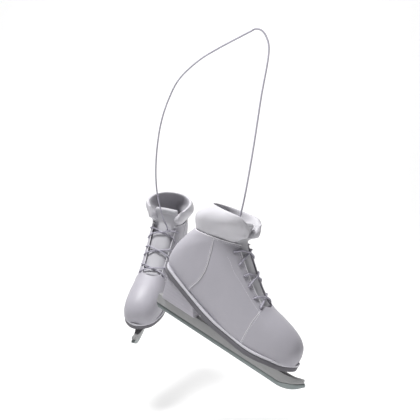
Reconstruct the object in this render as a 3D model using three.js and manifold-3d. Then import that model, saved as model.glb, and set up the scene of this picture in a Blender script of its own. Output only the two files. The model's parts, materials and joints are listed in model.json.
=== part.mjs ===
// A pair of white leather ice skates that hang together by one shared lace.
// Units are millimetres and +Z is up. The origin is the top of the lace, where the pair hangs.
// Each skate is built in its own frame: x forward from the heel, y to the wearer's left,
// z up from the running edge of the blade. A right skate is built and a left one is its mirror.
import * as THREE from "three";
import { mergeVertices } from "three/addons/utils/BufferGeometryUtils.js";
import Module from "manifold-3d";

const wasm = await Module();
wasm.setup();

// ---------------------------------------------------------------- driving dimensions
const gap = 0.3; // clearance between pieces that touch

// foot and sole
const soleLength = 274; // heel to toe of the outsole
const soleHalfWidth = 35; // half width at the ball of the foot
const heelHalfWidth = 30;
const heelRise = 84; // top of the sole above the ice at the heel
const ballRise = 37; // top of the sole above the ice at the ball
const toeRise = ballRise + 9;
const outsoleThickness = 11;
const weltHeight = 2.4;
const weltOverhang = 2; // how far the welt stands out past the upper
const insoleThickness = 5;

// upper
const leather = 4; // wall of the vamp, quarters and counter
const cuffWall = 10; // wall of the padded cuff
const collarRise = heelRise + 132; // back of the cuff above the ice
const collarFrontRise = collarRise + 9;
const collarFrontX = 0.464 * soleLength;
const cuffHalfWidth = 49;
const ankleHalfWidth = 36;
const cuffSeamRise = heelRise + 78; // cuff seam at the back
const throatTopX = 0.412 * soleLength;
const throatTopZ = heelRise + 93;
const throatBottomX = 0.7 * soleLength;
const throatBottomZ = ballRise + 65;
const throatHalfTop = 24; // half width of the lacing gap at its top
const throatHalfBottom = 19;
const cuffHalfGap = 39; // half width of the front opening at the top of the cuff
const tongueThickness = 5;
const tongueHalfWidth = throatHalfTop - 1;
const tongueTipHalfWidth = throatHalfTop;
const tongueTopRise = collarFrontRise - 2;
const tongueHingeX = throatTopX - 7.9; // the line on which the top of the tongue folds
const tongueHingeZ = throatTopZ - 2.6;
const tongueRoom = 4.6; // left between the leather and the tongue besides the lace itself
const knotRadius = 4;

// lacing
const laceDiameter = 3;
const laceSides = 8;
const eyeletRows = 6;
const lowestRow = 9; // from the bottom of the lacing gap to the lowest row
const topRow = 1.4; // from the highest row to the top of the lacing gap
const eyeletInset = 5; // from the edge of the lacing gap to the middle of an eyelet
const eyeletRadius = 3;

// heel block, ball block and blade
const heelBlockBack = 17;
const heelBlockFrontTop = 0.292 * soleLength;
const heelBlockFrontBottom = heelBlockFrontTop + 7;
const heelBlockHalfTop = heelHalfWidth - 4;
const heelBlockHalfBottom = 17;
const heelLiftThickness = 2.4;
const ballBlockBack = 0.759 * soleLength;
const ballBlockFront = ballBlockBack + 34;
const ballBlockHalfWidth = 17;
const bladeHeight = 24;
const runnerHeight = 7;
const runnerThickness = 6.5;
const runnerSeat = 3; // how deep the runner stands in the groove of the chassis
const chassisTopWidth = 16;
const chassisBottomWidth = 9.5;
const bladeBack = 4;
const bladeBendX = soleLength - 11; // where the nose starts to rise
const bladeTipX = bladeBendX + 37;
const bladeTipRise = 22;

const freeLaceSteps = 80;

// where the free lace is knotted, in each skate's frame
const rightKnot = [throatTopX - 26, 2, throatTopZ - 9];
const leftKnot = [throatTopX + 11.1, -12, throatTopZ - 1.5];

// how each skate hangs: where its knot is, then heading about Z, nose down about Y and lean
// about X, in degrees
const rightPose = { knot: [-41.3, -12.9, -373.1], heading: -25.2, noseDown: 25.9, lean: -2.2 };
const leftPose = { knot: [-165.2, 162.8, -357.6], heading: -102, noseDown: 25.5, lean: -11.3 };

// ---------------------------------------------------------------- materials
function material(color, roughness, metalness) {
  return () => new THREE.MeshStandardMaterial({ color, roughness, metalness });
}

const whiteLeather = material(0xe2dfe6, 0.5, 0);
const paddedLeather = material(0xe6e4ea, 0.55, 0);
const tongueLeather = material(0xd8d6dc, 0.6, 0);
const soleRubber = material(0x6c6972, 0.75, 0);
const weltLeather = material(0xeceaf0, 0.5, 0);
const footbedFabric = material(0xcfcbd2, 0.9, 0);
const heelLeather = material(0x9d99a3, 0.6, 0);
const chassisMetal = material(0xc4c4c4, 0.4, 0.9);
const runnerSteel = material(0x8fa0a0, 0.25, 1);
const laceCotton = material(0x8d8996, 0.9, 0);

// ---------------------------------------------------------------- solids and cuts
function toSolid(geometry) {
  const bare = geometry.clone();
  bare.deleteAttribute("normal");
  bare.deleteAttribute("uv");
  const merged = mergeVertices(bare, 1e-4);
  const mesh = new wasm.Mesh({
    numProp: 3,
    vertProperties: new Float32Array(merged.attributes.position.array),
    triVerts: new Uint32Array(merged.index.array),
  });
  return new wasm.Manifold(mesh);
}

function toGeometry(solid) {
  const mesh = solid.getMesh();
  const geometry = new THREE.BufferGeometry();
  geometry.setAttribute("position", new THREE.BufferAttribute(mesh.vertProperties, 3));
  geometry.setIndex(new THREE.BufferAttribute(mesh.triVerts, 1));
  geometry.computeVertexNormals();
  return geometry;
}

function largest(solid) {
  const pieces = solid.decompose();
  pieces.sort((a, b) => b.volume() - a.volume());
  return pieces[0];
}

// turns the faces inside out again after a mirror has flipped them
function mirrored(geometry) {
  const copy = geometry.clone();
  copy.scale(1, -1, 1);
  const index = copy.index.array;
  for (let i = 0; i < index.length; i += 3) {
    const swap = index[i];
    index[i] = index[i + 1];
    index[i + 1] = swap;
  }
  copy.computeVertexNormals();
  return copy;
}

// a side outline in x and z, extruded across the skate from y = low to y = high
function sidePrism(points, low, high) {
  const shape = new THREE.Shape(points.map(([x, z]) => new THREE.Vector2(x, z)));
  const geometry = new THREE.ExtrudeGeometry(shape, { depth: high - low, bevelEnabled: false });
  geometry.rotateX(Math.PI / 2);
  geometry.translate(0, high, 0);
  return geometry;
}

// ---------------------------------------------------------------- the sole's lines
function curveThrough(points) {
  return new THREE.SplineCurve(points.map(([x, y]) => new THREE.Vector2(x, y)));
}

// height of the sole's top along the foot, as shares of its length
const soleTopPoints = [
  [-0.11, heelRise + 8],
  [0, heelRise],
  [0.153, heelRise - 14],
  [0.31, ballRise + 18],
  [0.438, ballRise + 8],
  [0.555, ballRise + 2.5],
  [0.664, ballRise],
  [0.759, ballRise],
  [0.861, ballRise + 3],
  [0.956, toeRise - 4],
  [1.11, toeRise + 8],
].map(([share, z]) => [share * soleLength, z]);

function soleTop(x) {
  let i = 1;
  while (i < soleTopPoints.length - 2 && x > soleTopPoints[i + 1][0]) i += 1;
  const [x0, z0] = soleTopPoints[i];
  const [x1, z1] = soleTopPoints[i + 1];
  const [xa, za] = soleTopPoints[i - 1];
  const [xb, zb] = soleTopPoints[Math.min(i + 2, soleTopPoints.length - 1)];
  const t = (x - x0) / (x1 - x0);
  const m0 = ((z1 - za) / (x1 - xa)) * (x1 - x0);
  const m1 = ((zb - z0) / Math.max(xb - x0, 1)) * (x1 - x0);
  const a = 2 * t ** 3 - 3 * t ** 2 + 1;
  const b = t ** 3 - 2 * t ** 2 + t;
  const c = -2 * t ** 3 + 3 * t ** 2;
  const d = t ** 3 - t ** 2;
  return a * z0 + b * m0 + c * z1 + d * m1;
}

// half width of the foot's plan, from the heel's end to the toe's end
const planCurve = curveThrough([
  [0, 6],
  [0.011, heelHalfWidth * 0.56],
  [0.044, heelHalfWidth * 0.88],
  [0.131, heelHalfWidth],
  [0.292, heelHalfWidth - 0.5],
  [0.445, heelHalfWidth + 0.5],
  [0.584, soleHalfWidth - 5],
  [0.708, soleHalfWidth],
  [0.825, soleHalfWidth - 1],
  [0.912, soleHalfWidth - 8],
  [0.967, soleHalfWidth - 19],
  [0.993, 8],
].map(([share, y]) => [share * soleLength, y]));

// the forefoot curves a little towards the other foot
const footCurve = 5;
const straightPart = 0.328 * soleLength;
function inward(x) {
  const t = THREE.MathUtils.clamp((x - straightPart) / (soleLength - straightPart), 0, 1);
  return footCurve * t * t;
}

const soleSteps = 16;

// a board that follows the sole: grow widens it, rise is its top above the sole's top line
function soleBoard(grow, rise, thickness, fromT, toT, steps) {
  const geometry = new THREE.BoxGeometry(1, 1, 1, steps, 2, 1);
  const position = geometry.attributes.position;
  for (let i = 0; i < position.count; i += 1) {
    const t = fromT + (toT - fromT) * (position.getX(i) + 0.5);
    const point = planCurve.getPoint(t);
    const stretch = (point.x - soleLength / 2) / (soleLength / 2);
    const x = point.x + grow * stretch;
    const y = position.getY(i) * 2 * (point.y + grow) + inward(x);
    const z = soleTop(x) + rise - (position.getZ(i) > 0 ? 0 : thickness);
    position.setXYZ(i, x, y, z);
  }
  return geometry;
}

// ---------------------------------------------------------------- the upper's lines
// Each station is a slanted slice through the boot, from the toe round the heel to the collar:
// its front point, its back or bottom point, its half width, where along the slice that width is,
// and its shape: how square its front ridge is and how square its bottom is.
const seat = 4; // the slices reach this far below the sole's top, and are cut off there

// points given by a share of the sole's length and a height over the ball, heel or sole
function overBall(share, height) {
  return [share * soleLength, ballRise + height];
}

function overHeel(share, height) {
  return [share * soleLength, heelRise + height];
}

function inSole(share) {
  return [share * soleLength, soleTop(share * soleLength) - seat];
}

const ball = soleHalfWidth;
const ankle = ankleHalfWidth;
const stations = [
  { front: overBall(0.996, 23), back: inSole(0.993), half: 0.26 * ball, widest: 0.6, shape: [2.2, 3] },
  { front: overBall(0.982, 35), back: inSole(0.974), half: 0.57 * ball, widest: 0.62, shape: [2.2, 4] },
  { front: overBall(0.945, 46), back: inSole(0.934), half: 0.81 * ball, widest: 0.64, shape: [2.2, 4.5] },
  { front: overBall(0.883, 55), back: inSole(0.869), half: 0.95 * ball, widest: 0.66, shape: [2.3, 5] },
  { front: overBall(0.803, 62.5), back: inSole(0.781), half: ball + 0.5, widest: 0.68, shape: [2.4, 5] },
  { front: overBall(0.719, 69), back: inSole(0.686), half: ball + 0.5, widest: 0.7, shape: [2.6, 5] },
  { front: overHeel(0.635, 35), back: inSole(0.584), half: ball - 0.5, widest: 0.7, shape: [3, 5] },
  { front: overHeel(0.551, 55), back: inSole(0.474), half: ankle - 2.5, widest: 0.62, shape: [3.3, 4.5] },
  { front: overHeel(0.485, 74), back: inSole(0.358), half: ankle - 3, widest: 0.56, shape: [3.4, 4.5] },
  { front: overHeel(0.438, 88), back: inSole(0.226), half: ankle - 2, widest: 0.52, shape: [3.3, 4.5] },
  { front: overHeel(0.42, 96), back: inSole(0.095), half: ankle - 1.5, widest: 0.5, shape: [3, 4] },
  { front: overHeel(0.412, 103), back: overHeel(-0.011, 2), half: ankle - 1, widest: 0.5, shape: [2.8, 2.6] },
  { front: overHeel(0.409, 108), back: overHeel(-0.018, 28), half: ankle, widest: 0.5, shape: [2.6, 2.2] },
  { front: overHeel(0.409, 113), back: overHeel(0.022, 60), half: ankle, widest: 0.48, shape: [2.5, 2.1] },
  { front: overHeel(0.411, 118), back: overHeel(0.055, 79), half: ankle + 2, widest: 0.44, shape: [2.4, 2.1] },
  { front: overHeel(0.431, 128), back: overHeel(0.04, 104), half: cuffHalfWidth - 2, widest: 0.4, shape: [2.3, 2.1] },
  {
    front: [collarFrontX, collarFrontRise],
    back: [0.08 * soleLength, collarRise],
    half: cuffHalfWidth,
    widest: 0.38,
    shape: [2.2, 2.1],
  },
];

function smoothLine(pointOf) {
  return new THREE.CatmullRomCurve3(stations.map((station) => new THREE.Vector3(...pointOf(station))));
}

const frontLine = smoothLine((station) => [station.front[0], 0, station.front[1]]);
const backLine = smoothLine((station) => [station.back[0], 0, station.back[1]]);
const widthLine = smoothLine((station) => [station.half, station.widest * 100, 0]);
const squareLine = smoothLine((station) => [...station.shape, 0]);

function signedPower(value, power) {
  return Math.sign(value) * Math.abs(value) ** power;
}

// the point at station t and angle turn (0 at the front, pi at the back), inset by wall
function upperPoint(t, turn, wall, reach) {
  const front = frontLine.getPoint(t);
  const back = backLine.getPoint(t);
  const width = widthLine.getPoint(t);
  const squareness = squareLine.getPoint(t);
  const along = back.clone().sub(front);
  const length = along.length();
  along.normalize();
  front.addScaledVector(along, wall);
  const span = Math.max(length - 2 * wall, 4);
  const half = Math.max(width.x - wall, 3);
  const widest = width.y / 100;
  const square = Math.cos(turn) < 0 ? squareness.y : squareness.x;
  const forward = signedPower(Math.cos(turn), 2 / square);
  const share = forward > 0 ? widest * (1 - forward) : widest - (1 - widest) * forward;
  const point = front.addScaledVector(along, span * share);
  const y = half * signedPower(Math.sin(turn), 2 / square) * reach;
  return new THREE.Vector3(point.x, y + inward(point.x), point.z);
}

// a closed solid through the slices from station fromT to station toT
function upperSolid(wallAt, fromT, toT, around, along, lift) {
  const geometry = new THREE.CylinderGeometry(1, 1, 1, around, along);
  const position = geometry.attributes.position;
  for (let i = 0; i < position.count; i += 1) {
    const x = position.getX(i);
    const z = position.getZ(i);
    const turn = (Math.atan2(x, z) + 2 * Math.PI) % (2 * Math.PI);
    const v = position.getY(i) + 0.5;
    const t = fromT + (toT - fromT) * v;
    const middle = Math.hypot(x, z) < 0.5;
    const point = middle ? upperPoint(t, Math.PI / 2, wallAt(t), 0) : upperPoint(t, turn, wallAt(t), 1);
    if (v > 0.999) point.z += lift;
    position.setXYZ(i, point.x, point.y, point.z);
  }
  return geometry;
}

// a point on the upper and the direction straight out of it
function upperFrame(t, turn, wall) {
  const step = 0.004;
  const point = upperPoint(t, turn, wall, 1);
  const alongFoot = upperPoint(t + step, turn, wall, 1).sub(upperPoint(t - step, turn, wall, 1));
  const around = upperPoint(t, turn + step, wall, 1).sub(upperPoint(t, turn - step, wall, 1));
  const normal = alongFoot.cross(around).normalize();
  const centre = upperPoint(t, Math.PI / 2, wall, 0);
  if (normal.dot(point.clone().sub(centre)) < 0) normal.negate();
  return { point, normal };
}

// ---------------------------------------------------------------- shell of the upper
const around = 20;
const along = 14;
const cuffStartT = 13 / 16; // the cuff's padding begins at this share of the stations

function shellWall(t) {
  const share = THREE.MathUtils.smoothstep(t, cuffStartT, cuffStartT + 0.06);
  return leather + (cuffWall - leather) * share;
}

const outer = toSolid(upperSolid(() => 0, 0, 1, around, along, 0));
const inner = toSolid(upperSolid(shellWall, 0, 1, around, along, 14));
const belowSole = toSolid(soleBoard(12, 0, 40, 0, 1, soleSteps));
const shell = outer.subtract(inner).subtract(belowSole);

const throatTop = new THREE.Vector3(throatTopX, 0, throatTopZ);
const throatBottom = new THREE.Vector3(throatBottomX, 0, throatBottomZ);
const throatUp = throatTop.clone().sub(throatBottom).normalize();
const throatOut = new THREE.Vector3(0, 1, 0).cross(throatUp);
const throatLength = throatTop.distanceTo(throatBottom);

function throatHalf(s) {
  return throatHalfBottom + (throatHalfTop - throatHalfBottom) * (s / throatLength);
}

// a shape drawn in the plane of the lacing gap, extruded from inside the boot to outside it
function acrossThroat(shape, inside, outside) {
  const settings = { depth: outside - inside, bevelEnabled: false, curveSegments: 5 };
  const geometry = new THREE.ExtrudeGeometry(shape, settings);
  geometry.translate(0, 0, inside);
  const turned = new THREE.Matrix4().makeBasis(new THREE.Vector3(0, 1, 0), throatUp, throatOut);
  turned.setPosition(throatBottom.x, inward(throatBottom.x), throatBottom.z);
  return geometry.applyMatrix4(turned);
}

// a shape drawn across the boot, extruded forward from x = start
function acrossBoot(shape, start, depth) {
  const geometry = new THREE.ExtrudeGeometry(shape, { depth, bevelEnabled: false, curveSegments: 3 });
  const turned = new THREE.Matrix4();
  turned.makeBasis(new THREE.Vector3(0, 1, 0), new THREE.Vector3(0, 0, 1), new THREE.Vector3(1, 0, 0));
  turned.setPosition(start, inward(start), 0);
  return geometry.applyMatrix4(turned);
}

// the lacing gap: a long opening with a round lower end, cut straight down through the instep
function throatCut(grow, inside, outside) {
  const shape = new THREE.Shape();
  const half = throatHalfBottom + grow;
  const top = throatLength + 14;
  shape.moveTo(-throatHalf(top) - grow, top);
  shape.lineTo(-half, half * 0.6);
  shape.quadraticCurveTo(-half, -grow, 0, -grow);
  shape.quadraticCurveTo(half, -grow, half, half * 0.6);
  shape.lineTo(throatHalf(top) + grow, top);
  return acrossThroat(shape, inside, outside);
}

// the front opening of the cuff, wider at the top
function cuffCut() {
  const bottom = throatTopZ - 8;
  const top = collarFrontRise + 30;
  const slope = (cuffHalfGap - throatHalfTop) / (collarFrontRise - throatTopZ);
  const halfAt = (z) => throatHalfTop + slope * (z - throatTopZ);
  const shape = new THREE.Shape();
  shape.moveTo(-halfAt(bottom), bottom);
  shape.lineTo(halfAt(bottom), bottom);
  shape.lineTo(halfAt(top), top);
  shape.lineTo(-halfAt(top), top);
  return acrossBoot(shape, collarFrontX / 2, collarFrontX);
}

const openShell = shell
  .subtract(toSolid(throatCut(0, -34, 40)))
  .subtract(toSolid(cuffCut()));

// side outlines of the seams between the panels
function shares(points) {
  return points.map(([share, z]) => [share * soleLength, z]);
}

function shifted(points, dx, dz) {
  return points.map(([x, z]) => [x + dx, z + dz]);
}

const low = 0; // well below the upper
const high = collarRise + 60; // well above it
const vampTop = throatBottomZ + 38;
const vampSeam = shares([
  [0.668, low],
  [0.668, ballRise + 8],
  [0.672, ballRise + 31],
  [0.682, ballRise + 55],
  [0.69, vampTop],
]);
const counterSeam = shares([
  [0.226, low],
  [0.226, heelRise - 16],
  [0.263, heelRise + 6],
  [0.277, heelRise + 26],
  [0.266, heelRise + 54],
  [0.223, heelRise + 106],
]);
const cuffSeam = [
  ...shares([[-0.15, cuffSeamRise - 2], [0.055, cuffSeamRise], [0.22, cuffSeamRise + 6]]),
  [throatTopX, throatTopZ],
  [throatTopX + 67, throatTopZ + 6],
];

function vampRegion(shift) {
  const toe = soleLength + 66;
  return [...shifted(vampSeam, shift, 0), [toe, vampTop], [toe, low]];
}

function counterRegion(shift) {
  return [[-40, low], ...shifted(counterSeam, shift, 0), [-40, heelRise + 106]];
}

function cuffRegion(shift) {
  return [...shifted(cuffSeam, 0, shift), [throatTopX + 67, high], [-0.15 * soleLength, high]];
}

function region(points) {
  return toSolid(sidePrism(points, -90, 90));
}

const cuff = largest(openShell.intersect(region(cuffRegion(0))));
const belowCuff = openShell.subtract(region(cuffRegion(-gap)));
const vamp = largest(belowCuff.intersect(region(vampRegion(0))));
const behindVamp = belowCuff.subtract(region(vampRegion(-gap)));
const counter = largest(behindVamp.intersect(region(counterRegion(0))));
const quarters = behindVamp.subtract(region(counterRegion(gap)));
const innerHalf = toSolid(new THREE.BoxGeometry(400, 200, 400).translate(100, 100, 100));
const quarterInnerPlain = largest(quarters.intersect(innerHalf));
const quarterOuterPlain = largest(quarters.subtract(innerHalf));

// ---------------------------------------------------------------- lacing
// the station whose front point is nearest to a point s up the throat
function throatStation(s) {
  const target = throatBottom.clone().addScaledVector(throatUp, s);
  let best = 0;
  let distance = Infinity;
  for (let i = 0; i <= 400; i += 1) {
    const away = frontLine.getPoint(i / 400).distanceTo(target);
    if (away < distance) {
      distance = away;
      best = i / 400;
    }
  }
  return best;
}

// the point on the upper at a height s up the throat and a distance y from the middle
function upperAt(s, y, side) {
  const t = throatStation(s);
  const half = widthLine.getPoint(t).x;
  const ridge = squareLine.getPoint(t).x;
  const turn = Math.asin(Math.min(y / half, 0.97) ** (ridge / 2));
  return upperFrame(t, side > 0 ? turn : 2 * Math.PI - turn, 0);
}

function eyeletHeight(row) {
  return lowestRow + (row / (eyeletRows - 1)) * (throatLength - topRow - lowestRow);
}

function eyeletAt(row, side) {
  const s = eyeletHeight(row);
  return upperAt(s, throatHalf(s) + eyeletInset, side);
}

const laceLift = laceDiameter / 2 + 1.1; // from the leather's face to the middle of the lace
function eyeletPoints(row, side) {
  const { point, normal } = eyeletAt(row, side);
  return {
    above: point.clone().addScaledVector(normal, laceLift),
    hole: point.clone().addScaledVector(normal, -leather / 2),
    below: point.clone().addScaledVector(normal, -leather - laceLift),
  };
}

function eyeletHoles(side) {
  let holes = null;
  for (let row = 0; row < eyeletRows; row += 1) {
    const { point, normal } = eyeletAt(row, side);
    const drill = new THREE.CylinderGeometry(eyeletRadius, eyeletRadius, 24, 8);
    drill.applyQuaternion(new THREE.Quaternion().setFromUnitVectors(new THREE.Vector3(0, 1, 0), normal));
    drill.translate(point.x, point.y, point.z);
    const solid = toSolid(drill);
    holes = holes ? holes.add(solid) : solid;
  }
  return holes;
}

// One lace: a bar inside at the lowest row, then up both sides, with a cross outside between
// rows 1-2, 3-4 and 5-6 and a straight run inside between the crosses.
function edgePoint(row, side) {
  const s = eyeletHeight(row);
  return upperAt(s, throatHalf(s) - 1, side).point.addScaledVector(throatOut, laceLift);
}

function laceSide(startSide) {
  const points = [];
  let side = startSide;
  for (let row = 0; row < eyeletRows; row += 2) {
    const low = eyeletPoints(row, side);
    const high = eyeletPoints(row + 1, -side);
    const lowEdge = edgePoint(row + 0.18, side);
    const highEdge = edgePoint(row + 0.82, -side);
    const lift = startSide > 0 ? laceDiameter + 0.9 : 0;
    const middle = lowEdge.clone().add(highEdge).multiplyScalar(0.5);
    middle.addScaledVector(throatOut, lift + 0.3);
    points.push(low.below, low.hole, low.above, lowEdge, middle, highEdge, high.above, high.hole, high.below);
    side = -side;
  }
  return points;
}

const laceSteps = 96;
function laceTube(points, radius, steps) {
  const path = new THREE.CatmullRomCurve3(points, false, "catmullrom", 0.35);
  return tubeAlong(path, radius, steps);
}

function tubeAlong(path, radius, steps) {
  const section = new THREE.Shape();
  for (let i = 0; i < laceSides; i += 1) {
    const angle = (i / laceSides) * 2 * Math.PI;
    const corner = [radius * Math.cos(angle), radius * Math.sin(angle)];
    if (i === 0) section.moveTo(...corner);
    else section.lineTo(...corner);
  }
  section.closePath();
  return new THREE.ExtrudeGeometry(section, { steps, extrudePath: path, bevelEnabled: false });
}

// the bar across the lowest row, between the leather and the tongue
function barPoint(y) {
  const s = eyeletHeight(0);
  const point = throatBottom.clone().addScaledVector(throatUp, s);
  point.addScaledVector(throatOut, -leather - laceLift);
  point.y = inward(point.x) + y;
  return point;
}

const barReach = throatHalfBottom * 0.62;
const bar = [barPoint(barReach), barPoint(0), barPoint(-barReach)];
const lacePoints = [...laceSide(1).reverse(), ...bar, ...laceSide(-1)];
const leftLacing = toSolid(laceTube(lacePoints, laceDiameter / 2, laceSteps));

// inside the right boot the lace runs on from its top eyelet, round the tongue's edge, to the knot
const tailEnd = lacePoints[0].clone().lerp(lacePoints[1], 0.2);
const knotFace = rightKnot[1] - knotRadius - 2 * gap;
const tail = [
  new THREE.Vector3(rightKnot[0], knotFace, rightKnot[2]),
  new THREE.Vector3(rightKnot[0] - 5, -tongueHalfWidth + 13, rightKnot[2]),
  new THREE.Vector3(rightKnot[0] - 10.5, -tongueHalfWidth + 6, rightKnot[2]),
  new THREE.Vector3(rightKnot[0] - 10.5, -tongueHalfWidth + 0.5, rightKnot[2] - 0.5),
  new THREE.Vector3(rightKnot[0] - 5, -tongueHalfWidth - 2.5, rightKnot[2] - 2),
  new THREE.Vector3(rightKnot[0] + 3, -tongueHalfWidth - 1, rightKnot[2] - 3),
  new THREE.Vector3(rightKnot[0] + 11, -tongueHalfWidth + 1, rightKnot[2] - 4),
  tailEnd,
];
const rightLacing = leftLacing.add(toSolid(laceTube(tail, laceDiameter / 2, 24)));
const laceRoom = toSolid(laceTube(lacePoints, laceDiameter / 2 + 1.5 * gap, laceSteps));

const quarterInner = largest(quarterInnerPlain.subtract(eyeletHoles(1)).subtract(laceRoom));
const quarterOuter = largest(quarterOuterPlain.subtract(eyeletHoles(-1)).subtract(laceRoom));

// ---------------------------------------------------------------- tongue
const tongueInset = leather + laceDiameter + tongueRoom;
function tongueSheet() {
  const outerFace = toSolid(upperSolid(() => tongueInset, 0, 1, around, along, 20));
  const innerFace = toSolid(upperSolid(() => tongueInset + tongueThickness, 0, 1, around, along, 40));
  return outerFace.subtract(innerFace);
}

const tongueAll = tongueSheet();
const lowerTongue = new THREE.Shape();
const tongueRoot = 4; // from the bottom of the lacing gap to the tongue's lower edge
lowerTongue.moveTo(-tongueHalfWidth, tongueRoot);
lowerTongue.lineTo(tongueHalfWidth, tongueRoot);
lowerTongue.lineTo(tongueHalfWidth, throatLength + 16);
lowerTongue.lineTo(-tongueHalfWidth, throatLength + 16);
const lowerTongueCut = acrossThroat(lowerTongue, -36, 24);
const tongue = largest(tongueAll.intersect(toSolid(lowerTongueCut)).subtract(laceRoom));

// the free top of the tongue, which folds on the line where the lacing ends; its lower edge is
// rolled round that line
function tongueTipGeometry() {
  const shape = new THREE.Shape();
  const half = tongueTipHalfWidth;
  const round = 9;
  const narrowing = 3;
  shape.moveTo(-half + narrowing, tongueHingeZ);
  shape.lineTo(half - narrowing, tongueHingeZ);
  shape.lineTo(half, tongueTopRise - round);
  shape.quadraticCurveTo(half, tongueTopRise, half - round, tongueTopRise);
  shape.lineTo(-half + round, tongueTopRise);
  shape.quadraticCurveTo(-half, tongueTopRise, -half, tongueTopRise - round);
  return acrossBoot(shape, tongueHingeX - tongueThickness / 2, tongueThickness);
}

function tongueRollGeometry() {
  const radius = tongueThickness / 2;
  const roll = new THREE.CylinderGeometry(radius, radius, 2 * tongueTipHalfWidth - 8, 16);
  return roll.translate(tongueHingeX, inward(tongueHingeX), tongueHingeZ);
}

const tongueTip = toSolid(tongueTipGeometry()).add(toSolid(tongueRollGeometry()));
const tongueTopZ = tongueHingeZ - tongueThickness / 2 - gap;
const aboveTongue = toSolid(new THREE.BoxGeometry(200, 200, 100).translate(tongueHingeX, 0, tongueTopZ + 50));
const tongueLower = largest(tongue.subtract(aboveTongue));

// ---------------------------------------------------------------- sole, heel and blade
const soleDepth = outsoleThickness - weltHeight - gap;
const outsole = toSolid(soleBoard(weltOverhang, -weltHeight - gap, soleDepth, 0, 1, soleSteps));
const weltSolid = toSolid(soleBoard(weltOverhang, -gap, weltHeight - gap, 0, 1, soleSteps));
const insoleBoard = toSolid(soleBoard(-1, insoleThickness, insoleThickness - gap, 0, 1, soleSteps));
const footRoom = toSolid(upperSolid((t) => shellWall(t) + 3 * gap, 0, 1, around, along, 14));
const insole = largest(insoleBoard.intersect(footRoom));
const soleUnderside = toSolid(soleBoard(12, 0, outsoleThickness + gap, 0, 1, soleSteps));

const liftFront = heelBlockFrontTop + 4;
const heelLiftRegion = toSolid(sidePrism([[2, 0], [liftFront, 0], [liftFront, 120], [2, 120]], -60, 60));
const heelLift = largest(
  toSolid(soleBoard(-3, 0, outsoleThickness + gap + heelLiftThickness, 0, 1, soleSteps))
    .subtract(soleUnderside)
    .intersect(heelLiftRegion),
);

// a block under the sole: wide at the sole, narrow where it stands on the blade
function blockUnderSole(outline, halfTop, halfBottom, cover) {
  const prism = sidePrism(outline, -halfTop, halfTop);
  const top = Math.max(...outline.map(([, z]) => z));
  const position = prism.attributes.position;
  for (let i = 0; i < position.count; i += 1) {
    const share = (position.getZ(i) - bladeHeight) / (top - bladeHeight);
    const half = halfBottom + (halfTop - halfBottom) * share;
    position.setY(i, (position.getY(i) / halfTop) * half);
  }
  return largest(toSolid(prism).subtract(cover));
}

const blockFoot = bladeHeight + gap;
const heelCover = toSolid(soleBoard(12, 0, outsoleThickness + heelLiftThickness + 2 * gap, 0, 1, soleSteps));
const heelOutline = [
  [heelBlockBack, blockFoot],
  [heelBlockFrontBottom, blockFoot],
  [heelBlockFrontTop, soleTop(heelBlockFrontTop)],
  [heelBlockBack - 4, soleTop(heelBlockBack)],
];
const heelBlock = blockUnderSole(heelOutline, heelBlockHalfTop, heelBlockHalfBottom, heelCover);
const ballOutline = [
  [ballBlockBack, blockFoot],
  [ballBlockFront - 3, blockFoot],
  [ballBlockFront, soleTop(ballBlockFront)],
  [ballBlockBack, soleTop(ballBlockBack)],
];
const ballBlock = blockUnderSole(ballOutline, ballBlockHalfWidth, ballBlockHalfWidth, soleUnderside);

// the chassis: a beam under the blocks whose nose curls up over the runner's tip
const beamFoot = runnerHeight - runnerSeat;
const chassisOutline = [
  [bladeBack, beamFoot + 7],
  [bladeBack + 4, beamFoot],
  [bladeBendX - 2, beamFoot],
  [bladeBendX + 20, bladeTipRise - 9],
  [bladeTipX - 4, bladeTipRise + 1],
  [bladeTipX - 6, bladeTipRise + 9],
  [bladeBendX + 16, bladeHeight],
  [bladeBack, bladeHeight],
];

function chassisGeometry() {
  const prism = sidePrism(chassisOutline, -chassisTopWidth / 2, chassisTopWidth / 2);
  const position = prism.attributes.position;
  for (let i = 0; i < position.count; i += 1) {
    const isTop = position.getZ(i) > bladeHeight - 2;
    if (!isTop) position.setY(i, (position.getY(i) / chassisTopWidth) * chassisBottomWidth);
  }
  return prism;
}

// the steel runner stands in a groove of the chassis; grow makes the outline of that groove
function runnerOutline(grow) {
  const foot = -10 * grow;
  return [
    [bladeBack + 7, foot],
    [bladeBendX, foot],
    [bladeBendX + 14, foot + 4],
    [bladeBendX + 25, foot + 10.5],
    [bladeTipX, foot + bladeTipRise],
    [bladeTipX - 3, bladeTipRise + 4 + grow],
    [bladeBendX + 19, bladeTipRise - 6 + grow],
    [bladeBendX - 1, runnerHeight + grow],
    [bladeBack + 1, runnerHeight + grow],
    [bladeBack + 1, runnerHeight - 1 - grow],
  ];
}

const runner = toSolid(sidePrism(runnerOutline(0), -runnerThickness / 2, runnerThickness / 2));
const grooveHalf = runnerThickness / 2 + gap;
const groove = toSolid(sidePrism(runnerOutline(gap), -grooveHalf, grooveHalf));
const chassisPlain = largest(toSolid(chassisGeometry()).subtract(groove));

// ---------------------------------------------------------------- one skate
const pair = new THREE.Group();

function place(parent, name, geometry, makeMaterial) {
  const mesh = new THREE.Mesh(geometry, makeMaterial());
  mesh.name = name;
  parent.add(mesh);
  return mesh;
}

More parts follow.
